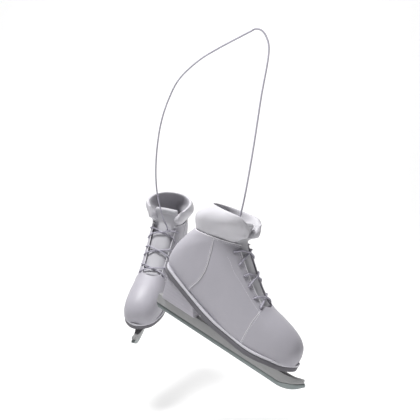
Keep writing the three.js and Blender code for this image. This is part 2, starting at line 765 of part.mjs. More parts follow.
function buildSkate(label, pose, flip, knotAt, lacing) {
  const skate = new THREE.Group();
  skate.rotation.order = "ZYX";
  const radians = THREE.MathUtils.degToRad;
  skate.rotation.set(radians(pose.lean), radians(pose.noseDown), radians(pose.heading));
  const knotY = flip ? -knotAt[1] : knotAt[1];
  const knotArm = new THREE.Vector3(knotAt[0], knotY, knotAt[2]).applyEuler(skate.rotation);
  skate.position.set(...pose.knot).sub(knotArm);
  pair.add(skate);
  const shape = (geometry) => (flip ? mirrored(geometry) : geometry);
  const add = (name, geometry, make) => place(skate, `${label}_${name}`, shape(geometry), make);

  add("vamp", toGeometry(vamp), whiteLeather);
  add("heel_counter", toGeometry(counter), whiteLeather);
  add("quarter_inner", toGeometry(quarterInner), whiteLeather);
  add("quarter_outer", toGeometry(quarterOuter), whiteLeather);
  add("cuff", toGeometry(cuff), paddedLeather);
  add("tongue", toGeometry(tongueLower), tongueLeather);
  add("tongue_tip", toGeometry(tongueTip), tongueLeather);
  add("insole", toGeometry(insole), footbedFabric);
  add("welt", toGeometry(weltSolid), weltLeather);
  add("outsole", toGeometry(outsole), soleRubber);
  add("heel_lift", toGeometry(heelLift), weltLeather);
  add("heel_block", toGeometry(heelBlock), heelLeather);
  add("ball_block", toGeometry(ballBlock), soleRubber);
  add("blade_chassis", toGeometry(chassisPlain), chassisMetal);
  add("blade_runner", toGeometry(runner), runnerSteel);
  add("lacing", toGeometry(lacing), laceCotton);
  const knot = toGeometry(toSolid(new THREE.IcosahedronGeometry(knotRadius, 1).translate(...knotAt)));
  add("lace_knot", knot, laceCotton);
}

buildSkate("right", rightPose, false, rightKnot, rightLacing);
buildSkate("left", leftPose, true, leftKnot, leftLacing);

// ---------------------------------------------------------------- the free lace
// One strand from the knot inside the right skate, up over the hanging point and round
// behind it to the knot on the top row of the left skate.
const freeLacePoints = [
  [rightPose.knot[0] + 1.1, rightPose.knot[1] + 0.2, rightPose.knot[2] + knotRadius + gap],
  [-34, -11.5, -345],
  [-24, -10.5, -310],
  [-8, -8, -226],
  [8, -5, -124],
  [22, -4, -36],
  [18, -3, -17],
  [10, -2, -5],
  [0, 0, -laceDiameter / 2],
  [-10, 4, -5],
  [-31, 10, -14],
  [-64, 25, -27],
  [-100, 45, -43],
  [-138, 68, -72],
  [-158, 85, -104],
  [-175, 105, -147],
  [-187, 130, -214],
  [-188, 142, -267],
  [-183.5, 148, -299],
  [-176, 152.5, -330],
  [leftPose.knot[0] - 1.5, leftPose.knot[1] - 1.4, leftPose.knot[2] + knotRadius - 0.1],
];

const freeVectors = freeLacePoints.map((point) => new THREE.Vector3(...point));
const freePath = new THREE.CatmullRomCurve3(freeVectors, false, "centripetal");
const freeLace = tubeAlong(freePath, laceDiameter / 2, freeLaceSteps);
place(pair, "free_lace", toGeometry(toSolid(freeLace)), laceCotton);

export default pair;
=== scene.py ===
# %% [markdown]
# # A pair of white leather ice skates on one lace
# Two low leather boots with padded cuffs hang from a single lace that runs from one boot to
# the other. Each boot is a set of cut leather panels on a sole, with a heel block and a steel
# blade underneath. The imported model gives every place, so it is loaded first, and each piece
# that is made here sits where its solid sits.

import json
import math

import bmesh
import bpy
import numpy as np
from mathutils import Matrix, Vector


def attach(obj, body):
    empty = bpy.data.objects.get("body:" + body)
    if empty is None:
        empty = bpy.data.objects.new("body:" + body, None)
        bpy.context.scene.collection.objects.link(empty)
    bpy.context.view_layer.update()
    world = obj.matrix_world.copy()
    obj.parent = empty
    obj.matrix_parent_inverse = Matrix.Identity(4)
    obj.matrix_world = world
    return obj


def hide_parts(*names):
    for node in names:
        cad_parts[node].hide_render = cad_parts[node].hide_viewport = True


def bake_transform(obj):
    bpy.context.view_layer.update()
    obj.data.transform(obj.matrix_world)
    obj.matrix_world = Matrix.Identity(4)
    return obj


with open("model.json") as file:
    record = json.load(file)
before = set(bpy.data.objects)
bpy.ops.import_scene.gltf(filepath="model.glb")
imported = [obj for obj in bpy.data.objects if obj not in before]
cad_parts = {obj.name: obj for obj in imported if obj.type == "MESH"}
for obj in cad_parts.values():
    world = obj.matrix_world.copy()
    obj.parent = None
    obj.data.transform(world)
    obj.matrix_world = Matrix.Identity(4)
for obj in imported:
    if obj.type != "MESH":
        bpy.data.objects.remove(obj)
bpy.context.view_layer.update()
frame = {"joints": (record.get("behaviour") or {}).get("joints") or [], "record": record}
record = frame["record"]

# %% [markdown]
# The camera stands level with the middle of the pair, a little under a metre away, as someone
# would who looks at skates that hang on a hook. A wide lens that near gives the near boot its size.

# %% camera
camera_data = bpy.data.cameras.new("camera")
camera = bpy.data.objects.new("camera", camera_data)
bpy.context.scene.collection.objects.link(camera)
camera.location = (-0.0798, -0.880, -0.3159)
camera.rotation_euler = (math.radians(90), 0, 0)
camera_data.lens_unit = "FOV"
camera_data.angle = math.radians(45)
camera_data.clip_end = 20
bpy.context.scene.camera = camera

# %% [markdown]
# A lace is a braided tube. It could be a bevelled curve, but a swept mesh carries its own UV map,
# so the braid can follow the lace: u counts metres along it and v goes once round it. The sweep
# turns its ring as little as it can from point to point, which keeps the braid from twisting.

# %% tubes along a line
def add_mesh(name, points, faces, uvs=None):
    mesh = bpy.data.meshes.new(name)
    mesh.from_pydata([tuple(p) for p in points], [], [tuple(f) for f in faces])
    if uvs is not None:
        layer = mesh.uv_layers.new(name="UVMap")
        loops = np.array([v for face in uvs for corner in face for v in corner], np.float32)
        layer.data.foreach_set("uv", loops)
    mesh.shade_smooth()
    mesh.update()
    piece = bpy.data.objects.new(name, mesh)
    bpy.context.scene.collection.objects.link(piece)
    return piece


def smooth_line(points, steps, tension=None):
    """Catmull-Rom through the points: centripetal, or with a fixed tension."""
    pts = [np.array(p, float) for p in points]
    pts = [2 * pts[0] - pts[1]] + pts + [2 * pts[-1] - pts[-2]]
    out = []
    for i in range(1, len(pts) - 2):
        p0, p1, p2, p3 = pts[i - 1 : i + 3]
        if tension is None:
            pairs = ((p0, p1), (p1, p2), (p2, p3))
            d = [max(np.linalg.norm(b - a) ** 0.5, 1e-9) for a, b in pairs]
            m1 = ((p1 - p0) / d[0] - (p2 - p0) / (d[0] + d[1]) + (p2 - p1) / d[1]) * d[1]
            m2 = ((p2 - p1) / d[1] - (p3 - p1) / (d[1] + d[2]) + (p3 - p2) / d[2]) * d[1]
        else:
            m1, m2 = tension * (p2 - p0), tension * (p3 - p1)
        for k in range(steps):
            t = k / steps
            a, b = 2 * t**3 - 3 * t**2 + 1, t**3 - 2 * t**2 + t
            out.append(a * p1 + b * m1 + (1 - a) * p2 + (t**3 - t**2) * m2)
    out.append(pts[-2])
    return np.array(out)


def even_line(line, step):
    away = np.concatenate([[0], np.cumsum(np.linalg.norm(np.diff(line, axis=0), axis=1))])
    count = max(int(round(away[-1] / step)), 2)
    at = np.linspace(0, away[-1], count + 1)
    return np.stack([np.interp(at, away, line[:, k]) for k in range(3)], 1)


tip_bulge = 0.0003  # how far a tube's closed end stands out, in metres


def line_length(line):
    return float(np.sum(np.linalg.norm(np.diff(line, axis=0), axis=1)))


def tube(name, line, radius, sides=12, closed=False):
    line = np.asarray(line, float)
    if closed:
        ahead, behind = np.roll(line, -1, 0), np.roll(line, 1, 0)
        along = ahead - behind
    else:
        along = np.gradient(line, axis=0)
    along /= np.linalg.norm(along, axis=1)[:, None]
    side = np.cross(along[0], [0.31, 0.17, 0.93])
    side /= np.linalg.norm(side)
    rings, run, lengths = [], 0.0, []
    for i, (point, way) in enumerate(zip(line, along)):
        side = side - way * (side @ way)
        side /= np.linalg.norm(side)
        up = np.cross(way, side)
        angles = np.arange(sides) * 2 * math.pi / sides
        ring = np.outer(np.cos(angles), side) + np.outer(np.sin(angles), up)
        rings.append(point + radius * ring)
        run += 0 if i == 0 else float(np.linalg.norm(point - line[i - 1]))
        lengths.append(run)
    points = np.concatenate(rings)
    faces, uvs, n = [], [], len(line)
    for i in range(n if closed else n - 1):
        j = (i + 1) % n
        u0, u1 = lengths[i], lengths[j] if j else run + float(np.linalg.norm(line[0] - line[-1]))
        for k in range(sides):
            m = (k + 1) % sides
            faces.append((i * sides + k, i * sides + m, j * sides + m, j * sides + k))
            v0, v1 = k / sides, (k + 1) / sides
            uvs.append(((u0, v0), (u0, v1), (u1, v1), (u1, v0)))
    if not closed:
        tips = len(points)
        tip_points = [line[0] - along[0] * tip_bulge, line[-1] + along[-1] * tip_bulge]
        points = np.concatenate([points, tip_points])
        for k in range(sides):
            m = (k + 1) % sides
            last = (n - 1) * sides
            faces.append((tips, m, k))
            uvs.append(((0, 0), (0, 0), (0, 0)))
            faces.append((tips + 1, last + k, last + m))
            uvs.append(((run, 0), (run, 0), (run, 0)))
    return add_mesh(name, points, faces, uvs)


# %% [markdown]
# The free lace is the only thing that holds the pair up. It leaves the knot inside the near boot,
# goes up over the hanging point and comes down to the far boot in a wide bow. Its route is the
# one that the solid model uses, so its points are the same list in millimetres.

# %% the free lace
lace_radius = 0.0015
joints = {joint["name"]: joint for joint in frame["joints"]}
right_knot = np.array(joints["right_twist"]["pos_m"])
left_knot = np.array(joints["left_twist"]["pos_m"])
lace_route = np.array(
    [
        [-34, -11.5, -345], [-24, -10.5, -310], [-8, -8, -226], [8, -5, -124], [22, -4, -36],
        [18, -3, -17], [10, -2, -5], [0, 0, -1.5], [-10, 4, -5], [-31, 10, -14], [-64, 25, -27],
        [-100, 45, -43], [-138, 68, -72], [-158, 85, -104], [-175, 105, -147], [-187, 130, -214],
        [-188, 142, -267], [-183.5, 148, -299], [-176, 152.5, -330],
    ]
) / 1000
lace_start = right_knot + np.array([1.1, 0.2, 4.0]) / 1000
lace_end = left_knot + np.array([-1.5, -1.4, 3.6]) / 1000
lace_line = even_line(smooth_line([lace_start, *lace_route, lace_end], 12), 0.0022)
free_lace = tube("free_lace_braid", lace_line, lace_radius, 12)

# %% [markdown]
# Each boot has its own directions: forward from heel to toe, left across, and up from the blade's
# edge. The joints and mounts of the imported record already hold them, so they are read from there.
# Sizes below are in millimetres in those directions. The left boot is the right one mirrored.

# %% directions of each skate
edge_mount_x = 0.140  # from the back of the sole to the mount under the blade, in metres


def skate_directions(side):
    mounts = {mount["name"]: mount for mount in record["mounts"]}
    edge = mounts[side + "_running_edge"]
    up = -np.array(edge["axis"])
    left = np.array(joints[side + "_swing"]["axis"])
    forward = np.cross(left, up)
    origin = np.array(edge["pos_m"]) - edge_mount_x * forward
    return origin, forward, left, up


directions = {side: skate_directions(side) for side in ("right", "left")}


def to_world(side, points):
    points = np.asarray(points, float).reshape(-1, 3) / 1000
    origin, forward, left, up = directions[side]
    y = points[:, 1] if side == "right" else -points[:, 1]
    return origin + np.outer(points[:, 0], forward) + np.outer(y, left) + np.outer(points[:, 2], up)


def place_piece(side, name, points, faces, uvs=None):
    """One piece of a skate from millimetre points in the boot's own directions."""
    if side == "left":
        faces = [tuple(reversed(face)) for face in faces]
        uvs = None if uvs is None else [tuple(reversed(corners)) for corners in uvs]
    return add_mesh(f"{side}_{name}", to_world(side, points), faces, uvs)


for side in directions:
    print(side, "heel of the blade at", np.round(directions[side][0], 3))

# %% [markdown]
# The sole's top runs from a raised heel down through the arch to the ball and rises at the toe.
# The plan is a shoe sole: round at the heel, waisted and widest at the ball. Both are smooth curves
# through a few given points, which is how a last maker draws them.

# %% the sole's lines
sole_length, heel_rise, ball_rise = 274.0, 84.0, 37.0
toe_rise = ball_rise + 9
sole_half, heel_half = 35.0, 30.0
top_points = np.array(
    [
        [-0.11, heel_rise + 8], [0, heel_rise], [0.153, heel_rise - 14], [0.31, ball_rise + 18],
        [0.438, ball_rise + 8], [0.555, ball_rise + 2.5], [0.664, ball_rise], [0.759, ball_rise],
        [0.861, ball_rise + 3], [0.956, toe_rise - 4], [1.11, toe_rise + 8],
    ]
) * [sole_length, 1]
top_fine = smooth_line(np.c_[top_points, np.zeros(len(top_points))], 24, tension=0.5)
plan_points = np.array(
    [
        [-0.005, 0], [-0.003, 3.5], [0.0015, 9], [0.011, heel_half * 0.56],
        [0.044, heel_half * 0.88], [0.131, heel_half], [0.292, heel_half - 0.5],
        [0.445, heel_half + 0.5], [0.584, sole_half - 5],
        [0.708, sole_half], [0.825, sole_half - 1], [0.912, sole_half - 8], [0.967, sole_half - 19],
        [0.99, 8.5], [0.997, 3.5], [1.0, 0],
    ]
) * [sole_length, 1]
plan_fine = smooth_line(np.c_[plan_points, np.zeros(len(plan_points))], 16)


def sole_top(x):
    return np.interp(x, top_fine[:, 0], top_fine[:, 1])


def inward(x):
    """The forefoot curves a little towards the other foot."""
    start = 0.328 * sole_length
    return 5 * np.clip((np.asarray(x, float) - start) / (sole_length - start), 0, 1) ** 2


# %% [markdown]
# The upper is a skin through slanted slices: round at the toe, high and narrow at the ankle and
# wide at the padded cuff. Each slice has a front point, a bottom or back point, a half width, and
# how square it is. Superellipses through those give a shape that can be sampled as finely as
# the render needs, while the solid model samples the same curves coarsely.

# %% slices of the upper
seat = 4.0
ankle, cuff_half = 36.0, 49.0
collar_rise = heel_rise + 132
collar_front = (0.464 * sole_length, collar_rise + 9)


def over_ball(share, height):
    return share * sole_length, ball_rise + height


def over_heel(share, height):
    return share * sole_length, heel_rise + height


def in_sole(share):
    return share * sole_length, float(sole_top(share * sole_length)) - seat


slices = [
    (over_ball(0.996, 23), in_sole(0.993), 0.26 * sole_half, 0.6, 2.2, 3),
    (over_ball(0.982, 35), in_sole(0.974), 0.57 * sole_half, 0.62, 2.2, 4),
    (over_ball(0.945, 46), in_sole(0.934), 0.81 * sole_half, 0.64, 2.2, 4.5),
    (over_ball(0.883, 55), in_sole(0.869), 0.95 * sole_half, 0.66, 2.3, 5),
    (over_ball(0.803, 62.5), in_sole(0.781), sole_half + 0.5, 0.68, 2.4, 5),
    (over_ball(0.719, 69), in_sole(0.686), sole_half + 0.5, 0.7, 2.6, 5),
    (over_heel(0.635, 35), in_sole(0.584), sole_half - 0.5, 0.7, 3, 5),
    (over_heel(0.551, 55), in_sole(0.474), ankle - 2.5, 0.62, 3.3, 4.5),
    (over_heel(0.485, 74), in_sole(0.358), ankle - 3, 0.56, 3.4, 4.5),
    (over_heel(0.438, 88), in_sole(0.226), ankle - 2, 0.52, 3.3, 4.5),
    (over_heel(0.42, 96), in_sole(0.095), ankle - 1.5, 0.5, 3, 4),
    (over_heel(0.412, 103), over_heel(-0.011, 2), ankle - 1, 0.5, 2.8, 2.6),
    (over_heel(0.409, 108), over_heel(-0.018, 28), ankle, 0.5, 2.6, 2.2),
    (over_heel(0.409, 113), over_heel(0.022, 60), ankle, 0.48, 2.5, 2.1),
    (over_heel(0.411, 118), over_heel(0.055, 79), ankle + 2, 0.44, 2.4, 2.1),
    (over_heel(0.431, 128), over_heel(0.04, 104), cuff_half - 2, 0.4, 2.3, 2.1),
    (collar_front, (0.08 * sole_length, collar_rise), cuff_half, 0.38, 2.2, 2.1),
]
knots_of_slices = np.array([[*f, *b, h, w, r, q] for f, b, h, w, r, q in slices])
fine_slices = smooth_line(knots_of_slices, 24)
# the solid model measures its stations evenly, so each slice is one step of t
slice_t = np.linspace(0, 1, len(fine_slices))


def slice_at(t):
    return np.stack([np.interp(t, slice_t, fine_slices[:, k]) for k in range(8)], -1)


def signed_power(value, power):
    return np.sign(value) * np.abs(value) ** power


def upper_points(t, turn, wall=0.0, reach=1.0):
    """Points of the upper at slice t and angle turn (0 at the front, pi at the back)."""
    t, turn, wall = np.broadcast_arrays(*(np.asarray(v, float) for v in (t, turn, wall)))
    s = slice_at(t)
    front, back = s[..., 0:2], s[..., 2:4]
    length = np.linalg.norm(back - front, axis=-1)
    along = (back - front) / length[..., None]
    front = front + along * wall[..., None]
    span = np.maximum(length - 2 * wall, 4)
    half = np.maximum(s[..., 4] - wall, 3)
    square = np.where(np.cos(turn) < 0, s[..., 7], s[..., 6])
    ahead = signed_power(np.cos(turn), 2 / square)
    share = np.where(ahead > 0, s[..., 5] * (1 - ahead), s[..., 5] - (1 - s[..., 5]) * ahead)
    spot = front + along * (span * share)[..., None]
    y = half * signed_power(np.sin(turn), 2 / square) * reach + inward(spot[..., 0])
    return np.stack([spot[..., 0], y, spot[..., 1]], -1)


def upper_way_out(t, turn, wall=0.0):
    step = 0.004
    a = upper_points(t + step, turn, wall) - upper_points(t - step, turn, wall)
    b = upper_points(t, turn + step, wall) - upper_points(t, turn - step, wall)
    way = np.cross(a, b)
    way /= np.maximum(np.linalg.norm(way, axis=-1), 1e-9)[..., None]
    middle = upper_points(t, math.pi / 2, wall, 0.0)
    outwards = np.sum(way * (upper_points(t, turn, wall) - middle), -1)
    return way * np.where(outwards < 0, -1, 1)[..., None]


print("upper reaches", np.round(upper_points(1.0, math.pi)[2], 1), "mm at the back")

# %% [markdown]
# The boot's panels are cut from that skin the way a clicker cuts leather: with side outlines. A
# closed shell is made first, then the lacing gap, the collar opening and the seams are cut through
# it with booleans. The panels come out with square cut edges, as leather has.

# %% cutting tools
leather = 4.0
throat_top = np.array([0.412 * sole_length, 0, heel_rise + 93])
throat_bottom = np.array([0.7 * sole_length, 0, ball_rise + 65])
throat_length = float(np.linalg.norm(throat_top - throat_bottom))
throat_up = (throat_top - throat_bottom) / throat_length
throat_out = np.cross([0, 1, 0], throat_up)
throat_half_top, throat_half_bottom = 24.0, 19.0
cuff_seam_rise = heel_rise + 78
cuff_gap_half = 39.0


def throat_half(s):
    return throat_half_bottom + (throat_half_top - throat_half_bottom) * s / throat_length


def plain_mesh(name, points, faces):
    """A closed solid in millimetres, used only while the panels are cut."""
    piece = add_mesh(name, points, faces)
    work = bmesh.new()
    work.from_mesh(piece.data)
    bmesh.ops.remove_doubles(work, verts=work.verts, dist=1e-4)
    bmesh.ops.recalc_face_normals(work, faces=work.faces)
    work.to_mesh(piece.data)
    work.free()
    return piece


def prism(name, outline, frame_of, low, high):
    """A flat outline swept from low to high; frame_of turns (u, v, w) into a point."""
    n = len(outline)
    points = [frame_of(u, v, low) for u, v in outline] + [frame_of(u, v, high) for u, v in outline]
    faces = [tuple(range(n)), tuple(range(2 * n - 1, n - 1, -1))]
    faces += [(i, (i + 1) % n, (i + 1) % n + n, i + n) for i in range(n)]
    return plain_mesh(name, points, faces)


def side_prism(name, outline):
    return prism(name, outline, lambda x, z, w: (x, w, z), -95, 95)


def skin_solid(name, wall, from_t, lift, around=112, along=120):
    """The upper as a closed solid from slice from_t to the collar, its rim raised by lift."""
    t = np.linspace(from_t, 1.0, along + 1)
    turn = np.arange(around) * 2 * math.pi / around
    grid = upper_points(t[:, None], turn[None, :], wall)
    grid[-1, :, 2] += lift
    points = list(grid.reshape(-1, 3))
    faces = []
    for i in range(along):
        for k in range(around):
            m = (k + 1) % around
            here, above = i * around, (i + 1) * around
            faces.append((here + k, here + m, above + m, above + k))
    for row in (0, along):
        points.append(grid[row].mean(0))
        for k in range(around):
            faces.append((row * around + k, row * around + (k + 1) % around, len(points) - 1))
    return plain_mesh(name, points, faces)


def evaluated_mesh(piece):
    """The piece's mesh with its modifiers applied, as new mesh data."""
    bpy.context.view_layer.update()
    depsgraph = bpy.context.evaluated_depsgraph_get()
    return bpy.data.meshes.new_from_object(piece.evaluated_get(depsgraph))


def cut(target, tool, operation="DIFFERENCE"):
    step = target.modifiers.new("cut", "BOOLEAN")
    step.object = tool
    step.operation = operation
    step.solver = "MANIFOLD"
    made = evaluated_mesh(target)
    target.modifiers.clear()
    old, target.data = target.data, made
    bpy.data.meshes.remove(old)
    return target


def copy_of(piece, name):
    twin = bpy.data.objects.new(name, piece.data.copy())
    bpy.context.scene.collection.objects.link(twin)
    return twin


def drop(*pieces):
    for piece in pieces:
        bpy.data.objects.remove(piece)


# %% [markdown]
# The seams follow the boot: one across the toe, one round the heel and one where the padded cuff
# is sewn on. Each seam is a smooth line seen from the side.

# %% seam outlines
def side_curve(points, steps):
    """A smooth line through points seen from the side."""
    fine = smooth_line([(x, 0, z) for x, z in points], steps)
    return [(p[0], p[2]) for p in fine]


def seam_line(points):
    return side_curve([(x * sole_length, z) for x, z in points], 10)


vamp_seam = seam_line(
    [(0.668, 0), (0.668, ball_rise + 8), (0.672, ball_rise + 31), (0.682, ball_rise + 55),
     (0.69, ball_rise + 103)]
)
counter_seam = seam_line(
    [(0.226, 0), (0.226, heel_rise - 16), (0.263, heel_rise + 6), (0.277, heel_rise + 26),
     (0.266, heel_rise + 54), (0.223, heel_rise + 106)]
)
cuff_seam = seam_line(
    [(-0.15, cuff_seam_rise - 2), (0.055, cuff_seam_rise), (0.22, cuff_seam_rise + 6),
     (0.412, heel_rise + 93), (0.66, heel_rise + 99)]
)


def seam_height(x):
    line = np.array(cuff_seam)
    return np.interp(x, line[:, 0], line[:, 1])


def throat_point(u, v, w):
    """u across, v up the lacing gap and w out of it."""
    middle = throat_bottom + v * throat_up + w * throat_out
    return middle[0], u + float(inward(middle[0])), middle[2]


def throat_outline(grow):
    half, top = throat_half_bottom + grow, throat_length + 14
    bend = [(-half * math.cos(a) ** 0.8, half * 0.6 - (half * 0.6 + grow) * math.sin(a) ** 0.8)
            for a in np.linspace(0.001, math.pi / 2, 14)]
    outline = [(-throat_half(top) - grow, top), *bend]
    return outline + [(-u, v) for u, v in reversed(outline[:-1])]


print("seams", len(vamp_seam), len(counter_seam), len(cuff_seam), "points")

# %% [markdown]
# The lacing zigzags through six pairs of holes. It crosses outside between every other pair and
# runs straight up inside between the crosses. Its points lie a little off the leather, so they are
# found from the same skin: out at the face, through the hole and in behind it.

# %% the laced zigzag
eyelet_rows, lowest_row, top_row = 6, 9.0, 1.4
eyelet_inset, eyelet_radius = 5, 2.3
lace_lift = 2.0  # from the face of the leather to the middle of the lace
over_cross = 3.9  # how much higher the upper strand of a cross lies


def front_t(s):
    """The slice whose front point is nearest to a point s up the lacing gap."""
    spot = throat_bottom + s * throat_up
    away = np.hypot(fine_slices[:, 0] - spot[0], fine_slices[:, 1] - spot[2])
    return float(slice_t[int(np.argmin(away))])


def gap_edge(s, y, side):
    t = front_t(s)
    row = slice_at(t)
    turn = math.asin(min(y / row[4], 0.97) ** (row[6] / 2))
    turn = turn if side > 0 else 2 * math.pi - turn
    return upper_points(t, turn), upper_way_out(t, turn)


def row_height(row):
    return lowest_row + row / (eyelet_rows - 1) * (throat_length - top_row - lowest_row)


def eyelet(row, side):
    s = row_height(row)
    point, way = gap_edge(s, throat_half(s) + eyelet_inset, side)
    return {
        "above": point + way * lace_lift,
        "hole": point - way * leather / 2,
        "below": point - way * (leather + lace_lift),
        "face": point,
        "way": way,
    }


def edge_point(row, side):
    s = row_height(row)
    return gap_edge(s, throat_half(s) - 1, side)[0] + throat_out * lace_lift


def lace_side(start_side):
    points, side = [], start_side
    for row in range(0, eyelet_rows, 2):
        low, high = eyelet(row, side), eyelet(row + 1, -side)
        low_edge, high_edge = edge_point(row + 0.18, side), edge_point(row + 0.82, -side)
        lift = over_cross if start_side > 0 else 0
        middle = (low_edge + high_edge) / 2 + throat_out * (lift + 0.3)
        points += [low["below"], low["hole"], low["above"], low_edge, middle, high_edge,
                   high["above"], high["hole"], high["below"]]
        side = -side
    return points


def bar_point(y):
    point = throat_bottom + lowest_row * throat_up - throat_out * (leather + lace_lift)
    return np.array([point[0], float(inward(point[0])) + y, point[2]])


bar = [bar_point(y) for y in (throat_half_bottom * 0.62, 0, -throat_half_bottom * 0.62)]
zigzag = [*reversed(lace_side(1)), *bar, *lace_side(-1)]
local_right_knot = (0.412 * sole_length - 26, 2, heel_rise + 84)
tail_bends = [(-10.5, -17, 0), (-10.5, -22.5, -0.5), (-5, -25.5, -2), (3, -24, -3), (11, -22, -4)]
tail = [
    (local_right_knot[0], local_right_knot[1] - 4.6, local_right_knot[2]),
    (local_right_knot[0] - 5, -10, local_right_knot[2]),
    *[(local_right_knot[0] + x, y, local_right_knot[2] + z) for x, y, z in tail_bends],
]
lacing = {}
for side in directions:
    route = [*tail, *zigzag] if side == "right" else zigzag
    line = even_line(smooth_line(to_world(side, route), 14, tension=0.35), 0.0013)
    lacing[side] = tube(f"{side}_lacing_braid", line, lace_radius, 12)
    print(side, "lacing", round(line_length(line), 3), "m")

# %% [markdown]
# Shader maths reads best as sums. This small class wraps a socket so that +, - and * add Math
# nodes, and one method makes any other node with its settings and links.

# %% shader words
class Socket:
    def __init__(self, tree, socket):
        self.tree, self.socket = tree, socket

    def math(self, operation, *others):
        node = self.tree.nodes.new("ShaderNodeMath")
        node.operation = operation
        for k, value in enumerate((self, *others)):
            wire(self.tree, node.inputs[k], value)
        return Socket(self.tree, node.outputs[0])

    def __add__(self, other):
        return self.math("ADD", other)

    def __mul__(self, other):
        return self.math("MULTIPLY", other)

    def __sub__(self, other):
        return self.math("SUBTRACT", other)

    def __rsub__(self, other):
        return (self * -1) + other

    __radd__, __rmul__ = __add__, __mul__


def wire(tree, target, value):
    if isinstance(value, Socket):
        tree.links.new(value.socket, target)
    elif isinstance(value, (tuple, list)) and len(value) == 3 and target.type == "RGBA":
        target.default_value = (*value, 1)
    else:
        target.default_value = value


def input_of(node, key):
    """An input by its number, as n3, or by its name with _ for a space."""
    numbered = key[0] == "n" and key[1:].isdigit()
    return node.inputs[int(key[1:]) if numbered else key.replace("_", " ")]


class Finish:
    """One material with a Principled shader."""

    def __init__(self, name, **plain):
        self.material = bpy.data.materials.new(name)
        self.material.use_nodes = True
        self.tree = self.material.node_tree
        self.shader = self.tree.nodes["Principled BSDF"]
        for key, value in plain.items():
            wire(self.tree, input_of(self.shader, key), value)

    def node(self, kind, settings=None, output=0, **inputs):
        node = self.tree.nodes.new("ShaderNode" + kind)
        for key, value in (settings or {}).items():
            if key == "stops":
                ramp = node.color_ramp
                while len(ramp.elements) < len(value):
                    ramp.elements.new(0.5)
                for element, (at, color) in zip(ramp.elements, value):
                    element.position = at
                    element.color = (*color, 1) if len(color) == 3 else color
            else:
                setattr(node, key, value)
        for key, value in inputs.items():
            wire(self.tree, input_of(node, key), value)
        return Socket(self.tree, node.outputs[output])

    def place(self):
        return self.node("TexCoord", output=3)

    def uv(self):
        return self.node("UVMap", {"uv_map": "UVMap"})

    def uv_parts(self):
        """The map's u and v as two sockets."""
        parts = self.node("SeparateXYZ", Vector=self.uv()).socket.node.outputs
        return Socket(self.tree, parts[0]), Socket(self.tree, parts[1])

    def noise(self, scale, detail=2.0, at=None, rough=0.5):
        at = at or self.place()
        return self.node("TexNoise", Vector=at, Scale=scale, Detail=detail, Roughness=rough)

    def cells(self, scale):
        return self.node("TexVoronoi", Vector=self.place(), Scale=scale)

    def ramp(self, value, *stops):
        return self.node("ValToRGB", {"stops": stops}, Fac=value)

    def blend(self, share, a, b):
        return self.node("Mix", {"data_type": "RGBA"}, output=2, n0=share, n6=a, n7=b)

    def stretched(self, x, y, z, at=None):
        return self.node("Mapping", Vector=at or self.uv(), Scale=(x, y, z))

    def bump(self, height, strength, distance, below=None):
        more = {} if below is None else {"Normal": below}
        return self.node("Bump", Height=height, Strength=strength, Distance=distance, **more)

    def set(self, **inputs):
        for key, value in inputs.items():
            wire(self.tree, input_of(self.shader, key), value)
        return self.material


# %% [markdown]
# White skate leather is coated: a cool white with a soft shine, a very fine pebble grain and faint
# creases where it bends. Real white boots are never one even white, so the colour drifts a
# little, and scuffs dull the shine in patches.

# %% leather finishes
def leather_finish(name, light, shade, grain, crease, shine):
    finish = Finish(name, Specular_IOR_Level=0.4, Coat_Roughness=0.3)
    drift = finish.noise(9, 3)
    cloud = finish.noise(38, 4, rough=0.6)
    pebbles = finish.cells(grain)
    pores = finish.noise(grain * 2.2, 2)
    scuff = finish.ramp(finish.noise(62, 6, rough=0.72), (0.56, (0, 0, 0)), (0.74, (1, 1, 1)))
    tone = finish.blend(drift * 0.6 + cloud * 0.4, light, shade)
    worn = finish.blend(scuff * 0.16, tone, (0.52, 0.5, 0.52))
    creased = finish.stretched(1.0, 1.0, 2.6, at=finish.place())
    folds = finish.noise(55, 5, at=creased, rough=0.55)
    height = pebbles * 0.5 + pores * 0.35
    normal = finish.bump(folds, crease, 0.0012)
    return finish.set(
        Base_Color=worn,
        Roughness=shine + cloud * 0.14 + scuff * 0.16,
        Coat_Weight=0.1 - scuff * 0.06,
        Normal=finish.bump(height, 0.22, 0.00022, below=normal),
    )


leathers = {  # light and shade, grain, crease, shine
    "coated_leather": ((0.445, 0.432, 0.472), (0.36, 0.349, 0.39), 950, 0.12, 0.46),
    # the cuff's leather is lighter than the boot's: its own pale tone plus painted light that lifts
    # the shade inside the cuff's opening
    "soft_cuff_leather": ((0.60, 0.59, 0.62), (0.50, 0.49, 0.525), 760, 0.26, 0.42),
    "soft_tongue_leather": ((0.50, 0.495, 0.52), (0.41, 0.405, 0.435), 820, 0.2, 0.46),
    "edge_binding": ((0.72, 0.71, 0.735), (0.62, 0.61, 0.64), 1200, 0.08, 0.36),
}
white_leather, cuff_leather_with_painted_light, tongue_leather, binding_leather = (
    leather_finish(name, *look) for name, look in leathers.items()
)

# %% [markdown]
# Inside, the boot is lined with a brushed knit. It is matt, so it scatters light softly, and a fine
# crossing weave shows in the bump and in the colour, which is painted darker in the weave's hollows
# as painted shade. The lining's pale colour is partly its own and partly painted light that lifts
# the shade inside the boot.

# %% lining, lace and thread
def weave_finish(name, light, shade, scale, depth):
    finish = Finish(name, Roughness=0.92, Specular_IOR_Level=0.2)
    place = finish.place()
    waves = [
        finish.node("TexWave", {"bands_direction": way}, output=1,
                    Vector=place, Scale=scale, Distortion=0.6)
        for way in ("X", "Z")
    ]
    fuzz = finish.noise(scale * 3, 4)
    weave = waves[0] * waves[1] + fuzz * 0.35
    return finish.set(
        # The colour mixes random tone with the weave's height, so the weave's hollows are painted
        # darker: painted shade.
        Base_Color=finish.blend(weave * 0.5 + finish.noise(14, 3) * 0.4, shade, light),
        Normal=finish.bump(weave, 0.4, depth),
    )


